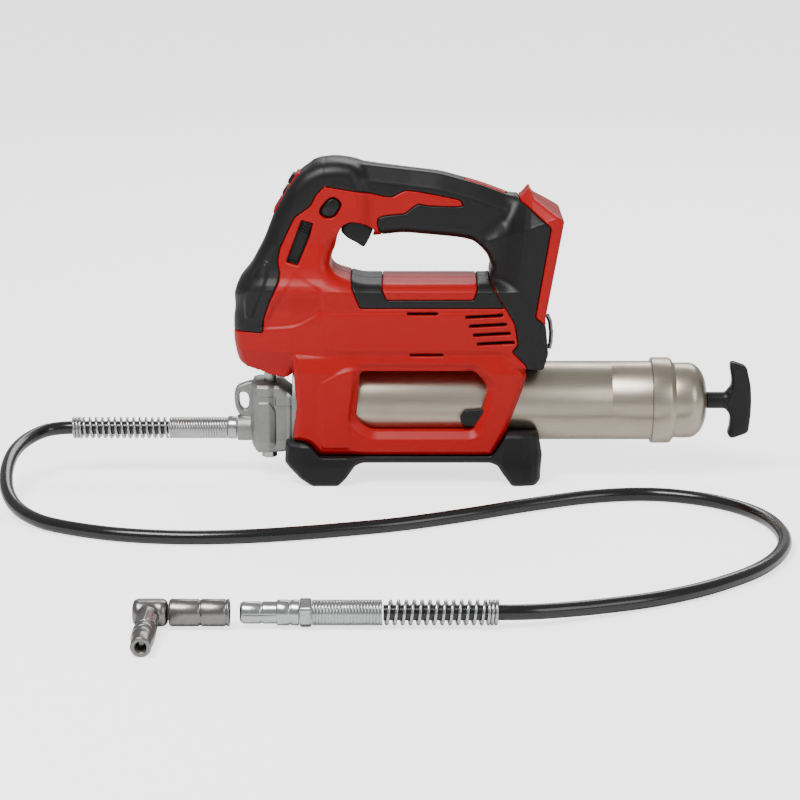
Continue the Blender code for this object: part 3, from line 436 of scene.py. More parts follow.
def plastic(name, colour, worn, grainScale, roughness, drift, dust, bump, coat=0.0, specular=0.5):
    return makeFinish(name, moulded, {
        "Colour": (*colour, 1), "Worn Colour": (*worn, 1), "Grain Scale": grainScale, "Roughness": roughness,
        "Drift": drift, "Dust": dust}, bump, coat=coat, specular=specular)


def metal(name, colour, dark, stretch, lineScale, roughness, tarnish, bump):
    return makeFinish(name, metalled, {
        "Colour": (*colour, 1), "Dark Colour": (*dark, 1), "Stretch": stretch, "Line Scale": lineScale,
        "Roughness": roughness, "Tarnish": tarnish}, bump, metallic=1.0)


redPlastic = plastic("redHousingPlastic", (0.36, 0.0025, 0.003), (0.40, 0.006, 0.006), 1800, 0.34, 0.3, 0.10,
                     0.08, specular=0.25)
blackGrip = plastic("blackGripRubber", (0.003, 0.003, 0.0033), (0.016, 0.016, 0.018), 2600, 0.38, 0.3, 0.35,
                    0.3, specular=0.35)
blackPlastic = plastic("blackHardPlastic", (0.004, 0.004, 0.0045), (0.02, 0.02, 0.02), 2200, 0.34, 0.3, 0.25,
                       0.2, specular=0.35)
# painted shade: a near-black finish for the plate that stands in for the shaded hollow behind the vents
ventShadeFinish = plastic("paintedVentShade", (0.012, 0.010, 0.010), (0.03, 0.02, 0.02), 2200, 0.6, 0.3, 0.1,
                     0.2)
hoseRubber = plastic("hoseRubber", (0.003, 0.003, 0.0035), (0.012, 0.012, 0.012), 900, 0.16, 0.3, 0.15, 0.05,
                     coat=0.25)
castHead = metal("castHeadMetal", (0.36, 0.37, 0.355), (0.19, 0.19, 0.185), (1, 1, 1), 900, 0.44, 0.5, 0.18)
nickelBarrel = metal("nickelBarrel", (0.50, 0.435, 0.355), (0.30, 0.255, 0.20), (0.02, 1, 1), 1500, 0.30,
                     0.45, 0.06)
zincSteel = metal("zincSteel", (0.56, 0.57, 0.57), (0.22, 0.22, 0.23), (1, 1, 1), 420, 0.19, 0.4, 0.01)
gunmetal = metal("gunmetalSteel", (0.27, 0.26, 0.25), (0.12, 0.115, 0.11), (1, 1, 1), 420, 0.27, 0.5, 0.02)
machined = metal("machinedSteel", (0.55, 0.55, 0.55), (0.3, 0.3, 0.3), (0.1, 1, 1), 900, 0.3, 0.3, 0.1)
brassBlade = metal("brassBlade", (0.72, 0.52, 0.22), (0.4, 0.27, 0.1), (1, 1, 0.1), 900, 0.3, 0.3, 0.1)
greenBoard = plastic("greenBoard", (0.01, 0.12, 0.04), (0.03, 0.2, 0.08), 900, 0.35, 0.3, 0.1, 0.1)
print("finishes made")

scene = bpy.context.scene

# ---- camera, floor and light

cameraPlace = {"place": (-66.8, -1948.74, 503.93), "pitch": 13.0, "lens": 125.0}


def makeCamera():
    data = bpy.data.cameras.new("viewCamera")
    data.lens = cameraPlace["lens"]
    data.sensor_width = 36
    camera = bpy.data.objects.new("viewCamera", data)
    camera.location = [value / 1000 for value in cameraPlace["place"]]
    camera.rotation_euler = (math.radians(90 - cameraPlace["pitch"]), 0, 0)
    scene.collection.objects.link(camera)
    scene.camera = camera


def makeLight(name, place, target, size, power):
    data = bpy.data.lights.new(name, "AREA")
    data.shape = "RECTANGLE"
    data.size, data.size_y = size
    data.energy = power
    light = bpy.data.objects.new(name, data)
    light.location = place
    gap = np.array(target) - np.array(place)
    flat = math.hypot(gap[0], gap[1])
    drop = math.atan2(-gap[2], flat)
    light.rotation_euler = (math.pi / 2 - drop, 0, math.atan2(gap[1], gap[0]) - math.pi / 2)
    scene.collection.objects.link(light)


def makeStage():
    mesh = bpy.data.meshes.new("floor")
    mesh.from_pydata([(-6, -4, 0), (6, -4, 0), (6, 8, 0), (-6, 8, 0)], [], [(0, 1, 2, 3)])
    material = bpy.data.materials.new("paleFloor")
    material.use_nodes = True
    shader = material.node_tree.nodes["Principled BSDF"]
    shader.inputs["Base Color"].default_value = (0.94, 0.94, 0.94, 1)
    shader.inputs["Roughness"].default_value = 0.9
    shader.inputs["Specular IOR Level"].default_value = 0.1
    nodes, links = material.node_tree.nodes, material.node_tree.links
    seen = nodes.new("ShaderNodeLightPath").outputs["Is Camera Ray"]
    shader.inputs["Emission Color"].default_value = (1, 1, 1, 1)
    links.new(math2(nodes, links, "MULTIPLY", seen, 1.9), shader.inputs["Emission Strength"])
    mesh.materials.append(material)
    floor = bpy.data.objects.new("floor", mesh)
    scene.collection.objects.link(floor)
    world = bpy.data.worlds.new("studio")
    world.use_nodes = True
    world.node_tree.nodes["Background"].inputs[0].default_value = (1, 1, 1, 1)
    world.node_tree.nodes["Background"].inputs[1].default_value = 0.42
    scene.world = world
    makeLight("keyLight", (-0.6, -0.9, 1.5), (-0.05, 0, 0.1), (1.0, 0.7), 36)
    makeLight("fillLight", (1.4, -1.3, 0.9), (0, 0, 0.1), (0.8, 1.0), 8)
    makeLight("backLight", (0.3, 1.6, 1.3), (0, 0, 0.1), (1.6, 0.6), 16)


makeCamera()
makeStage()
print("camera and light made")

# ---- hose, guards and fittings

hose = {"diameter": 9.5, "spacing": 4.0, "line": (-367.9, 9.3), "outlet": 33.6}
hoseRoute = [
    (-233.5, 0, 33.6), (-266, 0, 33.6), (-300, 0, 33.6), (-312, -1.6, 33.5), (-323, -7, 32.6),
    (-333, -22, 30.2), (-339, -41, 27), (-341, -62, 23), (-340, -84, 18), (-336, -105, 13),
    (-328, -125, 8.8), (-315, -144, 6.2), (-296, -161, 5.2), (-258, -180.2, 5), (-217, -188.7, 5),
    (-175, -187.6, 5), (-135, -179.2, 5), (-100, -168.7, 5), (-64, -155.4, 5), (-20, -132.2, 5),
    (25, -105.4, 5), (68, -85, 5), (107, -79.5, 5), (140, -91, 5), (165, -113.5, 5), (179.5, -141, 5),
    (185.2, -169, 5), (185.3, -194.6, 5), (180.8, -218.3, 5), (171.5, -243, 5), (158, -266, 5),
    (140, -287, 5), (116, -309, 5), (86, -329, 5.2), (54.1, -345.5, 6.2), (28, -358.5, 7.8),
    (8, -365.8, 8.9), (-10, -367.8, 9.3), (-43, -367.9, 9.3), (-76.8, -367.9, 9.3)]


def smoothRoute(points, spacing):
    # even steps along a Catmull-Rom curve through the route, computed on whole arrays
    knots = np.array(points, float)
    a = np.vstack([knots[:1], knots[:-2]])
    b, c = knots[:-1], knots[1:]
    d = np.vstack([knots[2:], knots[-1:]])
    t = np.linspace(0, 1, 40, endpoint=False)[None, :, None]
    a, b, c, d = (k[:, None] for k in (a, b, c, d))
    fine = 0.5 * (2 * b + (c - a) * t + (2 * a - 5 * b + 4 * c - d) * t ** 2
                  + (3 * b - a - 3 * c + d) * t ** 3)
    fine = np.vstack([fine.reshape(-1, 3), knots[-1:]])
    walked = np.concatenate([[0], np.cumsum(np.linalg.norm(np.diff(fine, axis=0), axis=1))])
    even = np.linspace(0, walked[-1], int(walked[-1] / spacing) + 1)
    return np.stack([np.interp(even, walked, fine[:, n]) for n in range(3)], 1), walked[-1]


def coil(start, end, radius, pitch, centre, tight=0.0, tightTurns=0):
    # a helix about the X direction: angle runs with distance, and the pitch is tighter over its first turns
    turns = max(1.0, abs(end - start) / pitch)
    along = np.linspace(0, 1, int(turns * 20))
    x = start + (end - start) * along
    angle = 2 * np.pi * turns * along
    if tightTurns:
        packed = np.linspace(0, 1, tightTurns * 20, endpoint=False)
        x = np.concatenate([start - np.sign(end - start) * tight * tightTurns * (1 - packed), x])
        angle = np.concatenate([2 * np.pi * tightTurns * (packed - 1), angle])
    return np.stack([x, centre[0] + radius * np.cos(angle), centre[1] + radius * np.sin(angle)], 1)


def ridges(start, end, radius, pitch, depth):
    # fine rings along a ferrule, like a coil wound tight
    along = np.linspace(start, end, int(abs(end - start) / pitch * 8))
    wave = radius - depth * (1 - np.abs(np.sin(np.pi * (along - start) / pitch)))
    return [(start, 2)] + list(zip(along, wave)) + [(end, 2)]


def makeHose():
    path, length = smoothRoute(hoseRoute, hose["spacing"])
    tube = swept("hoseTube", path, hose["diameter"] / 2, hoseRubber, "housing", "hose", 24)
    near = (0, hose["outlet"])
    far = hose["line"]
    # the open coil near the gun, packed tight at its outer end
    wire = 1.05
    swept("gunSpringGuard", coil(-296, -234.3, 7.8 - wire, 4.5, near, 2.25, 3), wire,
                        zincSteel,
                        "housing", "spring_guard_gun_end", 10)
    swept("farSpringGuard", coil(-15, -75.4, 7.8 - wire, 4.7, far, 2.25, 3), wire, zincSteel,
                        "housing", "spring_guard_far_end", 10)
    turned("gunFerrule", ridges(-232.7, -191.3, 7.8, 1.9, 0.55), (0, *near), (1, 0, 0),
                         zincSteel,
                         "housing", "ferrule_gun_end", 48)
    turned("farFerrule", ridges(-119, -77.4, 7.8, 1.9, 0.55), (0, *far), (1, 0, 0), zincSteel,
                         "housing", "ferrule_far_end", 48)
    flats = np.pi / 3

    def hexagon(across):
        # radius of a hexagon at an angle, less a small corner chamfer
        return lambda along, angle: np.minimum(
            across / np.cos((angle + flats / 2) % flats - flats / 2), across * 1.11) - across

    nut = 8.0
    turned("lockNutFar", [(-126.4, 4), (-126.4, nut - 0.8), (-125.6, nut), (-120.2, nut),
                                        (-119.4, nut - 0.8), (-119.4, 4)], (0, *far), (1, 0, 0), zincSteel,
                         "housing", "lock_nut", 96, hexagon(nut))
    slits = 4

    def jaws(along, angle):
        # narrow slits between the coupler's jaws, near its nose
        slit = np.abs(np.sin(angle * slits / 2)) < 0.07
        return np.where(slit & (along < -146) & (along > -161.5), -1.3, 0.0)

    r = 6.6
    profile = softProfile([(-161.9, 1.6), (-161.9, 5.3), (-160.2, r), (-150, r), (-149.6, r - 0.5),
                           (-148.6, r - 0.5),
                           (-148.2, r), (-140.2, r), (-139.6, 7.7), (-133, 7.7), (-132.6, 7.2),
                           (-131.6, 7.2),
                           (-131.2, 7.7), (-126.8, 7.7), (-126.8, 1.6)], bevel=0.25)
    turned("greaseCoupler", profile, (0, *far), (1, 0, 0), zincSteel, "housing",
                         "grease_coupler", 144,
                         jaws)
    outlet = turned("outletNipple", softProfile([
        (-190.9, 2), (-190.9, 7.2), (-190.2, 8.2), (-184.6, 8.2), (-184.6, 3.6), (-176, 3.6), (-176, 2)],
        bevel=0.2),
        (0, 0, 33.9), (1, 0, 0), zincSteel, "housing", "outlet_fitting", 96)
    return length


hoseLength = makeHose()
print("hose made:", round(hoseLength), "mm")

# ---- loose elbow adapter


def makeAdapter():
    far = hose["line"]
    r = 8.2
    turned("adapterSleeve", softProfile([
        (-190, 2), (-204, 2), (-204, 7.2), (-203, r), (-186.5, r), (-186, r - 0.6), (-185, r - 0.6),
        (-184.5, r),
        (-171, r), (-170.6, r - 0.5), (-169.8, r - 0.5), (-169.4, r), (-168.4, r), (-168, 7.6), (-168, 7.1),
        (-190, 7.1)], bevel=0.25), (0, *far), (1, 0, 0), gunmetal, "adapter", "adapter_sleeve", 96,
        capped=False)
    lean = math.radians(3)
    arm = np.array([0, -math.cos(lean), -math.sin(lean)])
    base = np.array([-216.0, far[0], far[1]])

    def elbow(x, y, z):
        along = (y - base[1]) * arm[1] + (z - base[2]) * arm[2]
        aside = -(y - base[1]) * arm[2] + (z - base[2]) * arm[1]
        dx = x - base[0]
        body = both(np.hypot(y - base[1], z - base[2]) - 8.7, np.abs(x + 215.2) - 10.6, 4.5)
        flat = both(body, np.abs(z - base[2]) - 7.8, 0.8)
        neck = both(np.hypot(dx, aside) - 6.4, np.abs(along - 16) - 16, 0.6)
        nut = both(np.maximum(np.abs(dx), np.abs(0.5 * dx) + 0.866 * np.abs(aside)) - 6.3,
                   np.abs(along - 20) - 6.5, 0.5)
        groove = np.hypot(np.hypot(dx, aside) - 6.6, along - 29.2) - 0.7
        return without(either(either(flat, neck, 2.0), nut), groove)
    fieldSurface("adapterElbow", elbow, (-227, far[0] - 33, 0), (-204, far[0] + 10, 19), 0.45, gunmetal,
                 "adapter_elbow", "adapter_elbow")
    turned("adapterCoupler", softProfile([
        (32.4, 1.6), (32.4, 6.6), (33, 7), (38, 7), (38.4, 6.5), (39.4, 6.5), (39.8, 7), (45, 7),
        (47.6, 6.2),
        (57.4, 6.2), (58, 5.6), (58, 3.6), (50, 1.6)], bevel=0.25), base, arm, gunmetal, "adapter_elbow",
        "adapter_coupler", 96)


makeAdapter()
print("adapter made")

# ---- housing shape

axisZ = 54.05
bodyZ = 83.0
# how far below the outer surface the walls end, the rubber skins end, and the seats under the skins lie
wallDepth = 6.2
skinDepth = 3.0
seatDepth = 3.2
# half the gap round a skin's edge, and half the gap between the two housing halves
seamGap = 0.15
jointGap = 0.12


def lift(points):
    # outlines are drawn with heights above the body's underside
    return [(x, bodyZ + z) for x, z in points]


bodyOutline = outlineField(lift([
    (-146, -11.5), (-169, -11.5), (-176.5, -6), (-182.6, 5), (-185.1, 19), (-184.8, 37), (-181.5, 50),
    (-177, 61),
    (18, 61), (32, 37), (24, 0.6), (-141, 0.6)]), 4)
noseOutline = outlineField(lift([
    (-182, 50), (-172, 72), (-163.5, 88), (-155.5, 109), (-145, 128), (-136, 138.6), (-124, 145),
    (-109, 146.4),
    (-96, 144), (-88, 120), (-88, 95), (-107, 90.5), (-113.7, 85), (-116.6, 72), (-112, 65), (-102.4, 60),
    (-98, 50)]), 5)
handleOutline = outlineField(lift([
    (-130, 143.4), (-116, 146.6), (-81, 141.8), (-38, 136.7), (-10, 128.8), (16, 119), (16, 66), (-0.2, 66),
    (-0.2, 72), (-3, 81), (-10, 87.9), (-24, 91.5), (-65, 95.2), (-85, 93), (-130, 92)]), 6)
columnOutline = outlineField(lift([
    (-16, 52), (-11, 60), (-4.8, 61.4), (-0.2, 72), (-3.5, 81), (-9, 88), (-9, 127), (12.5, 118.6),
    (18.5, 120.3),
    (24.4, 127.4), (27, 121), (48, 107), (35.4, 37), (37.8, 12), (34.4, 0.8), (8, 0.8)]), 1.5)


def shareOfFrame(points):
    return [(x, 21 + share * (bodyZ - 21)) for x, share in points]


frameOutline = outlineField(shareOfFrame([
    (-143, 1.2), (-140.4, 0.6), (-142.8, 0.19), (-131.4, 0.15), (-124, 0.005), (-1.4, 0.005), (7.7, 0.24),
    (19.5, 0.75), (23, 0.95), (12, 1.2)]), 3)
windowOutline = outlineField(shareOfFrame([
    (-95, 0.985), (-13.9, 0.985), (-9, 0.9), (-4.6, 0.79), (-7.4, 0.6), (-11.5, 0.42), (-15, 0.29),
    (-86.7, 0.29), (-93.7, 0.36), (-98, 0.45), (-96.5, 0.66)]), 3)
guardRegion = outlineField(lift([
    (-195, 26), (-182, 25.2), (-163.8, 25.2), (-163.2, 35), (-158.4, 49), (-152.4, 62), (-151.4, 68),
    (-153, 76),
    (-151.4, 85), (-146.4, 96), (-141, 107.2), (-135, 111.5), (-129.4, 115.6), (-126, 123), (-119.4, 129.6),
    (-119.4, 160), (-165, 155)]), 2)
gripRegion = outlineField(lift([
    (-119.2, 160), (-119.2, 129.2), (-105.4, 126.9), (-87.9, 124), (-78, 121.4), (-72, 121), (-66.8, 124),
    (-63, 125.6), (-56, 125), (-38.7, 121.8), (-24.7, 118.9), (-22, 114.6), (-28, 114), (-45.7, 114.6),
    (-54.2, 116), (-58.4, 113.2), (-63.3, 109), (-77.3, 107.9), (-81.8, 106.5), (-83, 103.2), (-81.6, 97.4),
    (-77, 90), (-60, 86), (-20, 75), (-6, 68), (3.4, 51), (14.1, 33), (16.3, 18.6), (12.1, 13.6), (22.1, 4),
    (24.9, -8), (60, -8), (60, 10), (33.5, 34.5), (28.4, 38.6), (38.8, 102.4), (23, 115), (18.4, 117.2),
    (15.5, 124), (14, 160)]), 1.5)
bandRegion = outlineField(lift([
    (-101.9, 70), (-101.6, 64), (-100.5, 58), (-94.9, 44.4), (6.9, 44.4), (3, 50.9), (-6.4, 67.8),
    (-12.2, 69),
    (-12.6, 57), (-15.2, 50.3), (-76.2, 50.3), (-79.3, 57), (-79.4, 69)]), 1.2)
pillarRegion = outlineField([(-123, 74), (-105, 84), (-36, 84), (-20, 84), (-20, 79.5), (-92, 79.5),
                             (-99, 74),
                             (-103, 50), (-103, 27), (-122, 27)], 1.5)
panelRegion = outlineField(lift([
    (-122, 40.5), (5, 41), (11, 30), (12.5, 18), (6, 13.5), (-116, 13), (-125, 30)]), 3)
ribRegion = outlineField(lift([
    (-176.2, 35), (-176.7, 48), (-170.9, 66), (-165.2, 74.4), (-160.4, 76), (-160.2, 67), (-164.5, 55),
    (-169, 44), (-172, 35)]), 3)
slotRegion = outlineField(lift([(-136, 105.5), (-127.8, 103.4), (-130.4, 93.5), (-138.8, 73.6),
                                (-146.9, 75.9),
                                (-141, 92)]), 0.8)
lockRegion = outlineField(lift([(-117.9, 120.4), (-113.4, 122.6), (-108.2, 119), (-107.6, 115.4),
                                (-112.6, 107.2),
                                (-119.5, 106.4), (-124, 110.3), (-122.5, 114.8)]), 3)
triggerArch = outlineField(lift([(-110.4, 96), (-107.2, 101.6), (-101.1, 104.4), (-93.6, 102.9), (-84.6, 98),
                                 (-86.4, 92.4), (-88, 80), (-104, 80), (-113, 84)]), 2)
noseHollow = outlineField(lift([(-168, 28), (-140, 31), (-124, 40), (-120, 50), (-122, 58), (-133, 63),
                                (-141, 70),
                               (-146, 60), (-154, 48), (-160, 36)]), 6)
triggerOutline = outlineField(lift([(-109, 95.5), (-106.9, 100.7), (-101.1, 103.4), (-94, 102.1),
                                    (-85.4, 97.7),
                                    (-88.6, 90), (-92.4, 83.6), (-98.2, 87.6), (-104, 90.4)]), 2)


def shell(x, y, z):
    # the whole outer shape: four blocks with rounded sides, blended into each other
    side = np.abs(y)
    lower = 0.34 * np.clip(bodyZ + 12.5 - z, 0, 14)
    upper = 0.75 * np.clip(z - bodyZ - 56, 0, 9)
    width = np.interp(x, (-186, -176, -160, -145, -110), (13.5, 20.5, 26.4, 29.8, 33.2)) - lower - upper
    width = width + swell(panelRegion(x, z), 0.7, 2.0) - swell(noseHollow(x, z), 1.6, 3.0) \
        + swell(ribRegion(x, z), 1.7, 2.2)
    body = both(bodyOutline(x, z), side - width, 6)
    width = np.interp(x, (-184, -165, -140, -125), (12, 18.5, 22.6, 23.2)) + swell(ribRegion(x, z), 1.7,
            2.2) \
        + 0.24 * np.clip(bodyZ + 88 - z, 0, 28)
    nose = both(noseOutline(x, z), side - width, 10)
    edge = handleOutline(x, z)
    width = side - np.interp(x, (-110, -60, -20), (19, 16.5, 16.8))
    handle = both(edge, width, 7)
    above = z - bodyZ - np.interp(x, (-116, -38, 8), (119, 114, 99))
    handle = both(handle, 0.62 * edge + 0.78 * width + 6.2 - 0.8 * np.clip(4 - above, 0, 40), 0.8)
    flare = x - 0.10 * (z - bodyZ - 60)
    width = np.interp(flare, (-14, -2, 16, 20, 30, 52), (15, 19, 33.6, 35.8, 37.2, 37.4)) \
        - 0.9 * np.clip(z - bodyZ - 101 - 0.4 * (x - 22), 0, 30)
    column = both(columnOutline(x, z), 0.76 * (side - width), 2.2)
    return either(either(body, nose, 14), either(handle, column, 9), 5)


def topStrip(x, y, z):
    return block(x, y, z, (-21, -6.5, bodyZ + 108), (8, 6.5, bodyZ + 140), 2)


def cavities(x, y, z):
    # the openings through the walls: vents, barrel bore, battery slot, trigger, lock and selector
    holes = either(np.hypot(y, z - axisZ) - 28.8, both(np.hypot(y, z - axisZ) - 32.1, x + 99.7))
    slot = block(x, y, z, (21, -28.5, bodyZ + 43.5), (80, 28.5, bodyZ + 98), 1)
    holes = np.minimum(holes, slot)
    holes = np.minimum(holes, block(x, y, z, (-110.5, -9.9, bodyZ + 70), (-84, 9.9, bodyZ + 106), 1.5))
    holes = np.minimum(holes, triggerArch(x, z))
    holes = np.minimum(holes, both(lockRegion(x, z), 19 - np.abs(y), 0.2))
    holes = np.minimum(holes, both(slotRegion(x, z), y + 15.5, 0.2))
    for i in range(4):
        start, height = -20.5 + 2.7 * i, bodyZ + 38.2 - 6.4 * i
        tilt = z - height - 0.055 * (x - start)
        slit = np.hypot(np.maximum(np.abs(x - start - 13) - 12.2, 0), tilt) - 1.15
        holes = np.minimum(holes, both(slit, 27 - np.abs(y)))
    for middle, height, half in ((-51, 40.6, 10), (-48, 11, 11)):
        slit = np.hypot(np.maximum(np.abs(x - middle) - half, 0), z - bodyZ - height) - 1.0
        holes = np.minimum(holes, both(slit, 27 - np.abs(y)))
    return holes


def panelFrame(x, z):
    # place along and above the control panel on the sloping front edge
    turn = math.radians(58)
    dx, dz = x + 147, z - bodyZ - 123
    return dx * math.cos(turn) + dz * math.sin(turn), -dx * math.sin(turn) + dz * math.cos(turn)


def panelWell(x, y, z):
    # the recess that holds the control panel
    along, above = panelFrame(x, z)
    return block(along, y, above, (-17, -11, -4.5), (17, 11, 40), 0.5)


def housingField(side):
    def field(x, y, z):
        outer = shell(x, y, z)
        regions = np.minimum(np.minimum(guardRegion(x, z), gripRegion(x, z)), bandRegion(x, z))
        strip = both(outer - 0.5, topStrip(x, y, z), 0.8)
        red = either(without(outer, regions - seamGap, 0.7), strip)
        red = np.minimum(red, outer + seatDepth)
        frameWidth = 35.4 - 0.25 * np.clip(z - bodyZ + 2, 0, 20)
        frameWidth = frameWidth + swell(pillarRegion(x, z), 1.3, 3.0)
        edge, wall, hole = frameOutline(x, z), np.abs(y) - frameWidth, -windowOutline(x, z)
        hoop = both(both(edge, wall, 1.0), 0.7 * edge + 0.72 * wall + 2.4, 0.6)
        hoop = both(both(hoop, hole, 0.8), 0.62 * hole + 0.78 * wall + 3.6, 0.6)
        red = either(red, hoop, 2.5)
        red = np.maximum(red, -(outer + wallDepth))
        red = np.maximum(red, -panelWell(x, y, z))
        red = without(red, cavities(x, y, z), 0.5)
        return np.maximum(red, jointGap - side * y)
    return field


def overmouldRegion(x, z):
    # one moulding runs from the nose over the handle to the column
    return either(guardRegion(x, z), gripRegion(x, z), 2.5)


def skinField(region, side):
    def field(x, y, z):
        outer = shell(x, y, z)
        skin = both(outer, region(x, z) + seamGap, 1.0)
        skin = np.maximum(skin, -(outer + skinDepth))
        skin = without(skin, topStrip(x, y, z) - 0.3, 0.5)
        skin = without(skin, cavities(x, y, z), 0.5)
        skin = np.maximum(skin, -panelWell(x, y, z))
        return np.maximum(skin, jointGap - side * y)
    return field


# grid steps of the large surfaces
housingStep = 0.95
headStep = 0.75


def makeHousing():
    for side, word in ((-1, "left"), (1, "right")):
        low, high = (0, 38) if side > 0 else (-38, 0)
        title = word.capitalize()
        fieldSurface("housing" + title, housingField(side), (-186, low, 20), (49, high, 230), housingStep,
                     redPlastic, "housing", "housing_" + word)
        fieldSurface("gripOvermold" + title, skinField(overmouldRegion, side), (-186, low, 74),
                     (49, high, 231),
                     housingStep * 0.9, blackGrip, "housing",
                     ["nose_guard_" + word, "grip_overmold_" + word])
        fieldSurface("waistBand" + title, skinField(bandRegion, side), (-104, low, 125), (9, high, 150),
                     housingStep * 0.8, blackGrip, "housing", "waist_band_" + word)
        print("housing half made:", word)


makeHousing()


def makeLinings():
    # black tray behind the selector slot, a dark lining that paints the shade of the hollow seen through it
    def slotShade(x, y, z):
        edge = slotRegion(x, z)
        return without(both(edge + 0.2, np.abs(y + 18.6) - 2.8, 0.2), both(edge + 0.9, y + 18.1, 0.2), 0.1)
    fieldSurface("selectorSlotShade", slotShade, (-148, -21.6, 155), (-126, -15.6, 190), 0.5, blackPlastic, "housing",
                 None)

    def ventShade(x, y, z):
        # a dark plate behind the vents, painted shade for the hollow seen through them
        return block(x, np.abs(y), z, (-23, 21.8, bodyZ + 14), (11.5, 24.2, bodyZ + 43), 0.4)
    for side, word in ((-1, "Left"), (1, "Right")):
        low, high = sorted((side * 21.6, side * 25.2))
        fieldSurface("ventShadePlate" + word, ventShade, (-23.5, low, bodyZ + 13.5), (12, high, bodyZ + 43.5), 0.9,
                     ventShadeFinish, "housing", None)


makeLinings()

# ---- controls


def makeControls():
    fieldSurface("triggerLever", lambda x, y, z: both(triggerOutline(x, z), np.abs(y) - 9.3, 1.6),
                 (-110, -10, 165), (-85, 10, 188), 0.5, blackPlastic, "trigger", "trigger")

    def lock(x, y, z):
        # its two ends are crowned
        crown = 0.02 * ((x + 115.5) ** 2 + (z - bodyZ - 114.5) ** 2)
        return both(lockRegion(x, z) + 0.7, np.abs(y) - 22.6 + crown, 1.2)
    fieldSurface("lockButton", lock, (-125, -25, 188), (-106, 25, 207), 0.8, blackPlastic, "lock_button",
                 "lock_button")

    def slider(x, y, z):
        # a small block with grip ridges that runs in the sloping slot
        turn = math.atan2(20.5, 8.5)
        along = (x + 132.6) * math.cos(turn) + (z - bodyZ - 99.5) * math.sin(turn)
        across = -(x + 132.6) * math.sin(turn) + (z - bodyZ - 99.5) * math.cos(turn)
        ridge = 0.45 * np.cos(along * 2 * np.pi / 2.1)
        return block(along, across, y + ridge, (-4.4, -2.7, -22.6), (4.4, 2.7, -18.5), 0.5)
    fieldSurface("speedSelector", slider, (-140, -24, 173), (-126, -18, 190), 0.35, blackPlastic,
                 "speed_selector",
                 "speed_selector")
    parts = {
        "panelFrame": ((-16.7, -10.7, -4.2), (16.7, 10.7, 1.0), redPlastic, "housing", "panel_frame",
                       "red_plastic"),
        "upperButton": ((6, -6.6, -0.7), (14, 6.6, 3.0), blackPlastic, "button_upper", "button_upper",
                        "black_plastic"),
        "lowerButton": ((-3, -6.6, -0.7), (4, 6.6, 2.1), blackPlastic, "button_lower", "button_lower",
                        "black_plastic"),
        "displayLens": ((-14, -6.6, -1.7), (-5, 6.6, 1.3), blackPlastic, "housing", "display_lens",
                        "black_plastic")}
    for name, (low, high, material, body, node, slot) in parts.items():
        wells = [parts[key][:2] for key in ("upperButton", "lowerButton",
                                            "displayLens")] if name == "panelFrame" \
            else []

        def field(x, y, z, low=low, high=high, wells=wells):
            along, above = panelFrame(x, z)
            shape = block(along, y, above, low, high, 1.0)
            for wellLow, wellHigh in wells:
                shape = without(shape, block(along, y, above, [v - 0.3 for v in wellLow[:2]] + [-1.9],
                                             [v + 0.3 for v in wellHigh[:2]] + [9], 0.8), 0.3)
            return shape
        fieldSurface(name, field, (-166, -12, 188), (-128, 12, 226), 0.55, material, body, node)


makeControls()
print("controls made")

# ---- pump head


def makeHead():
    outline = outlineField([(-169.5, 17.4), (-151.4, 17.4), (-147, 19.2), (-143.6, 30), (-143.6, 61),
                            (-152, 68.5),
                            (-172.5, 69.4), (-173.6, 60), (-173, 24)], 2)
    lugOutline = outlineField([(-168, 69.3), (-175, 68.4), (-184, 65.2), (-186, 60), (-185.4, 50),
                               (-182.4, 43.5),
                               (-168, 41)], 3)
    lugHole = outlineField([(-182.3, 59.6), (-180, 61), (-176.6, 60.2), (-175, 56), (-176, 48.6), (-179, 47),
                            (-182, 51)], 2)
    plateOutline = outlineField([(-168, 24), (-156, 24), (-156, 50), (-160, 56), (-168, 56)], 1)
    stepOutline = outlineField([(-170, 60.5), (-155.6, 60.5), (-155.6, 53.6), (-142, 53.6), (-142, 73),
                                (-170, 73)], 1)

    def field(x, y, z):
        side = np.abs(y)
        width = np.interp(x, (-175, -168.4, -160.5, -156.5, -147.5, -143),
                          (12.6, 18.6, 18.6, 16.6, 16.6, 19.4)) \
            - 0.7 * np.clip(27 - z, 0, 10) + swell(stepOutline(x, z), 1.6, 0.5) + swell(plateOutline(x, z),
                    1.4, 0.5)
        edge, wall = outline(x, z), side - width
        casting = both(both(edge, wall, 0.7), 0.7 * edge + 0.7 * wall + 1.6, 0.4)
        boss = both(np.hypot(y, z - 33.9) - 9.4, np.abs(x + 172) - 11.9, 0.8)
        lug = without(both(lugOutline(x, z), side - 4.2, 1.6), lugHole(x, z), 1.0)
        web = both(np.hypot(y, z - axisZ) - 31.6, np.abs(x + 121.8) - 21.6, 0.6)
        shape = either(either(casting, boss, 1.6), either(lug, web, 1.0), 1.0)
        dimple = np.hypot(np.hypot(x + 157, z - 59.4), np.maximum(19.5 - side, 0)) - 1.5
        shape = without(shape, dimple, 0.3)
        shape = without(shape, both(np.hypot(y, z - axisZ) - 28.5, -112.3 - x))
        shape = without(shape, both(np.hypot(y, z - axisZ) - 25.2, -136 - x))
        shape = without(shape, both(np.hypot(x + 160, y) - 4.7, 34 - z))
        return without(shape, both(np.hypot(y, z - 33.9) - 4.0, x + 160))
    fieldSurface("pumpHead", field, (-187, -32, 16), (-99, 32, 87), headStep, castHead, "housing",
                 "pump_head")
    flats = np.pi / 3

    def corner(along, angle):
        return np.where(along < 17.1, np.minimum(5.0 / np.cos((angle + flats / 2) % flats - flats / 2),
                                                 5.5) - 5.0, 0)
    turned("bleederValve", softProfile([(12.5, 0.4), (12.5, 4.4), (13.1, 5.0), (17, 5.0), (17, 2.2),
                                        (27, 2.2),
                                        (27, 0.4)], bevel=0.2), (-161, 0, 0), (0, 0, 1), zincSteel,
                                        "bleeder_valve",
           "bleeder_valve", 96, corner)


makeHead()
print("pump head made")

# ---- feet


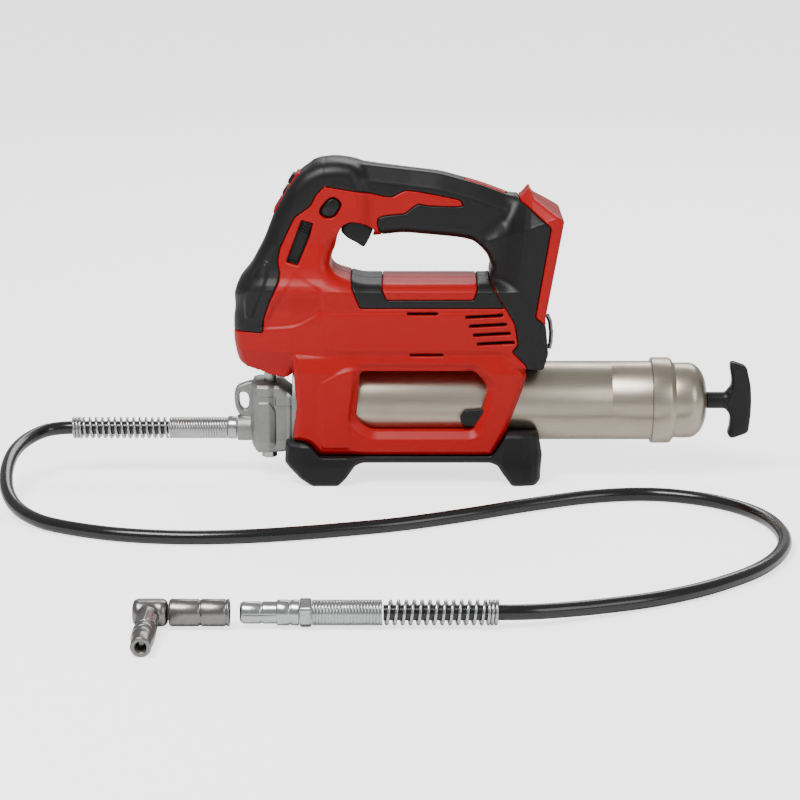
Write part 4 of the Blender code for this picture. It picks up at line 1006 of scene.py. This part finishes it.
def makeBase():
    outline = outlineField([
        (-148, 31), (-148.8, 16.5), (-144.8, 12), (-137.7, 5.5), (-129.2, 0.05), (-110.8, 0.05),
        (-105.8, 4.8),
        (-98.7, 14.3), (-93.7, 15.7), (-3, 15.7), (2.6, 14.3), (5.5, 9.9), (12.7, 0.05), (29.7, 0.05),
        (33.1, 4),
        (33.1, 9.2), (34.3, 21.6), (31.5, 38), (4, 38), (-6, 24), (-118, 24), (-126, 31)], 1.5)

    def field(x, y, z):
        side = np.abs(y)
        width = np.interp(x, (-149, -137, -132, -104, -92, -2, 6, 20, 26, 35),
                          (35, 41, 41.7, 41.7, 36, 36, 41.7, 41.7, 40.5, 35))
        width = width - 0.12 * np.clip(z - 14, 0, 30)
        edge, wall = outline(x, z), side - width
        shape = both(both(edge, wall, 0.8), 0.7 * edge + 0.72 * wall + 1.8, 0.6)
        shape = without(shape, frameOutline(x, z) - 0.4, 0.3)
        shape = without(shape, np.hypot(y, z - axisZ) - 29.2, 0.4)
        shape = without(shape, both(np.hypot(y, z - axisZ) - 32.1, x + 112))
        shape = without(shape, block(x, y, z, (-200, -21, 12), (-142.4, 21, 100), 0.5), 0.3)
        # each foot is hollow underneath, between its side walls
        for middle, half in ((-120, 12), (21, 7)):
            shape = without(shape, block(x, y, z, (middle - half, -28, -4), (middle + half, 28, 6), 1.5),
                            0.4)
        return shape
    fieldSurface("baseSkid", field, (-150, -43, -1), (36, 43, 39), housingStep, blackGrip, "housing",
                 "base_skid")


makeBase()
print("feet made")

# ---- barrel, cap, follower and T-handle


def makeBarrel():
    axis = (0, 0, axisZ)
    r, wall = 28.25, 1.5
    turned("barrelTube", [(-112, r - wall), (-112, r), (84, r), (84.2, r - 0.12), (84.6, r - 0.12),
                          (84.8, r),
                          (126, r), (126, r - wall)], axis, (1, 0, 0), nickelBarrel, "barrel", "barrel", 160,
           capped=False)
    t = np.linspace(0.15, math.pi / 2 - 0.18, 12)
    dome = [(140 + 13 * math.sin(a), 8 + 19 * math.cos(a)) for a in t]
    profile = [(113, r + 0.3), (113, 30), (113.6, 30.8), (125.6, 30.8), (127.4, 30), (129, 27.4),
               (130, 26.8),
               (131.4, 27.05), (140, 27.05)] + dome + [(153, 8), (153, 4.5), (150.5, 4.5), (149.5, 8),
                                                      (137.5, 24.5), (126.3, 24.5), (126.3, r + 0.3)]
    turned("barrelCap", profile, axis, (1, 0, 0), nickelBarrel, "barrel", "barrel_cap", 160, capped=False)
    turned("followerCup", softProfile([(-108, 0.4), (-108, 24), (-106.5, 26.2), (-90, 26.2), (-90, 24.4),
                                       (-104, 24.4),
                                       (-104, 7.4), (-94, 7.4), (-94, 4.3), (-104, 4.3), (-104, 0.4)],
                                       bevel=0.3),
           axis, (1, 0, 0), blackPlastic, "follower", "follower_cup", 96)
    spring = swept("followerSpring", coil(-102, 125, 18.6, 12.5, (0, axisZ)), 1.3, machined, "barrel",
                   "follower_spring", 8)
    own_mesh(spring)
    turned("plungerRod", softProfile([(-103.7, 0.3), (-103.7, 3.6), (-103.2, 4), (161.5, 4), (161.5, 0.3)],
                                     bevel=0.2),
           axis, (1, 0, 0), machined, "plunger_rod", "plunger_rod", 48)
    stem = 153.6
    outline = outlineField([
        (stem, axisZ - 6.2), (stem + 14, axisZ - 6.2), (stem + 17.4, axisZ - 11), (stem + 17, axisZ - 19),
        (stem + 15.2, axisZ - 24.6), (stem + 18.3, axisZ - 28), (stem + 30.6, axisZ - 23.4),
        (stem + 32, axisZ - 11),
        (stem + 32.3, axisZ), (stem + 31.6, axisZ + 11), (stem + 28.3, axisZ + 25.2),
        (stem + 17.4, axisZ + 29),
        (stem + 16, axisZ + 26), (stem + 17.8, axisZ + 16), (stem + 17.6, axisZ + 10.5),
        (stem + 14, axisZ + 6.2),
        (stem, axisZ + 6.2)], 2.6)

    def handle(x, y, z):
        bar = both(both(outline(x, z), 14.5 + stem - x, 1.0), np.abs(y) - 6, 3.2)
        stemTube = both(np.hypot(y, z - axisZ) - 6, np.abs(x - stem - 8) - 8, 0.6)
        return without(either(bar, stemTube, 3.0), both(np.hypot(y, z - axisZ) - 4.3, x - stem - 8.3))
    fieldSurface("tHandle", handle, (153, -7, 24), (187, 7, 84), 0.7, blackPlastic, "plunger_rod",
                 "t_handle")
    # rubber pad between the frame and the barrel, seen in the window
    pad = outlineField([(-24.2, 46.6), (-20.7, 53.6), (-2, 54.9), (-8, 40), (-15.6, 40.4), (-22.2, 42.2)], 2)

    def padField(x, y, z):
        return both(pad(x, z), np.abs(np.hypot(y, z - axisZ) - 30.5) - 1.6, 0.8)
    for side, word in ((-1, "Left"), (1, "Right")):
        low, high = sorted((side * 24, side * 33))
        fieldSurface("barrelPad" + word, padField, (-26, low, 38), (0, high, 57), 0.6, blackGrip, "housing",
                     None)


makeBarrel()
print("barrel made")

# ---- carried-over pieces

carried = {
    machined: ["motor_can", "rotor", "rear_bearing", "ring_gear_case", "sun_gear", "planet_gear_1",
               "planet_gear_2",
               "planet_gear_3", "crank_carrier", "carrier_bearing", "plunger_yoke", "check_ball",
               "housing_screw_1",
               "housing_screw_2", "housing_screw_3", "housing_screw_4"],
    gunmetal: ["strap_ring"],
    blackPlastic: ["switch_body", "terminal_block", "cooling_fan"],
    brassBlade: ["battery_contact_1", "battery_contact_2", "battery_contact_3"],
    greenBoard: ["circuit_board"]}
for material, names in carried.items():
    for name in names:
        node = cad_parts[name]
        node.data.materials.clear()
        node.data.materials.append(material)
print("carried-over pieces finished")
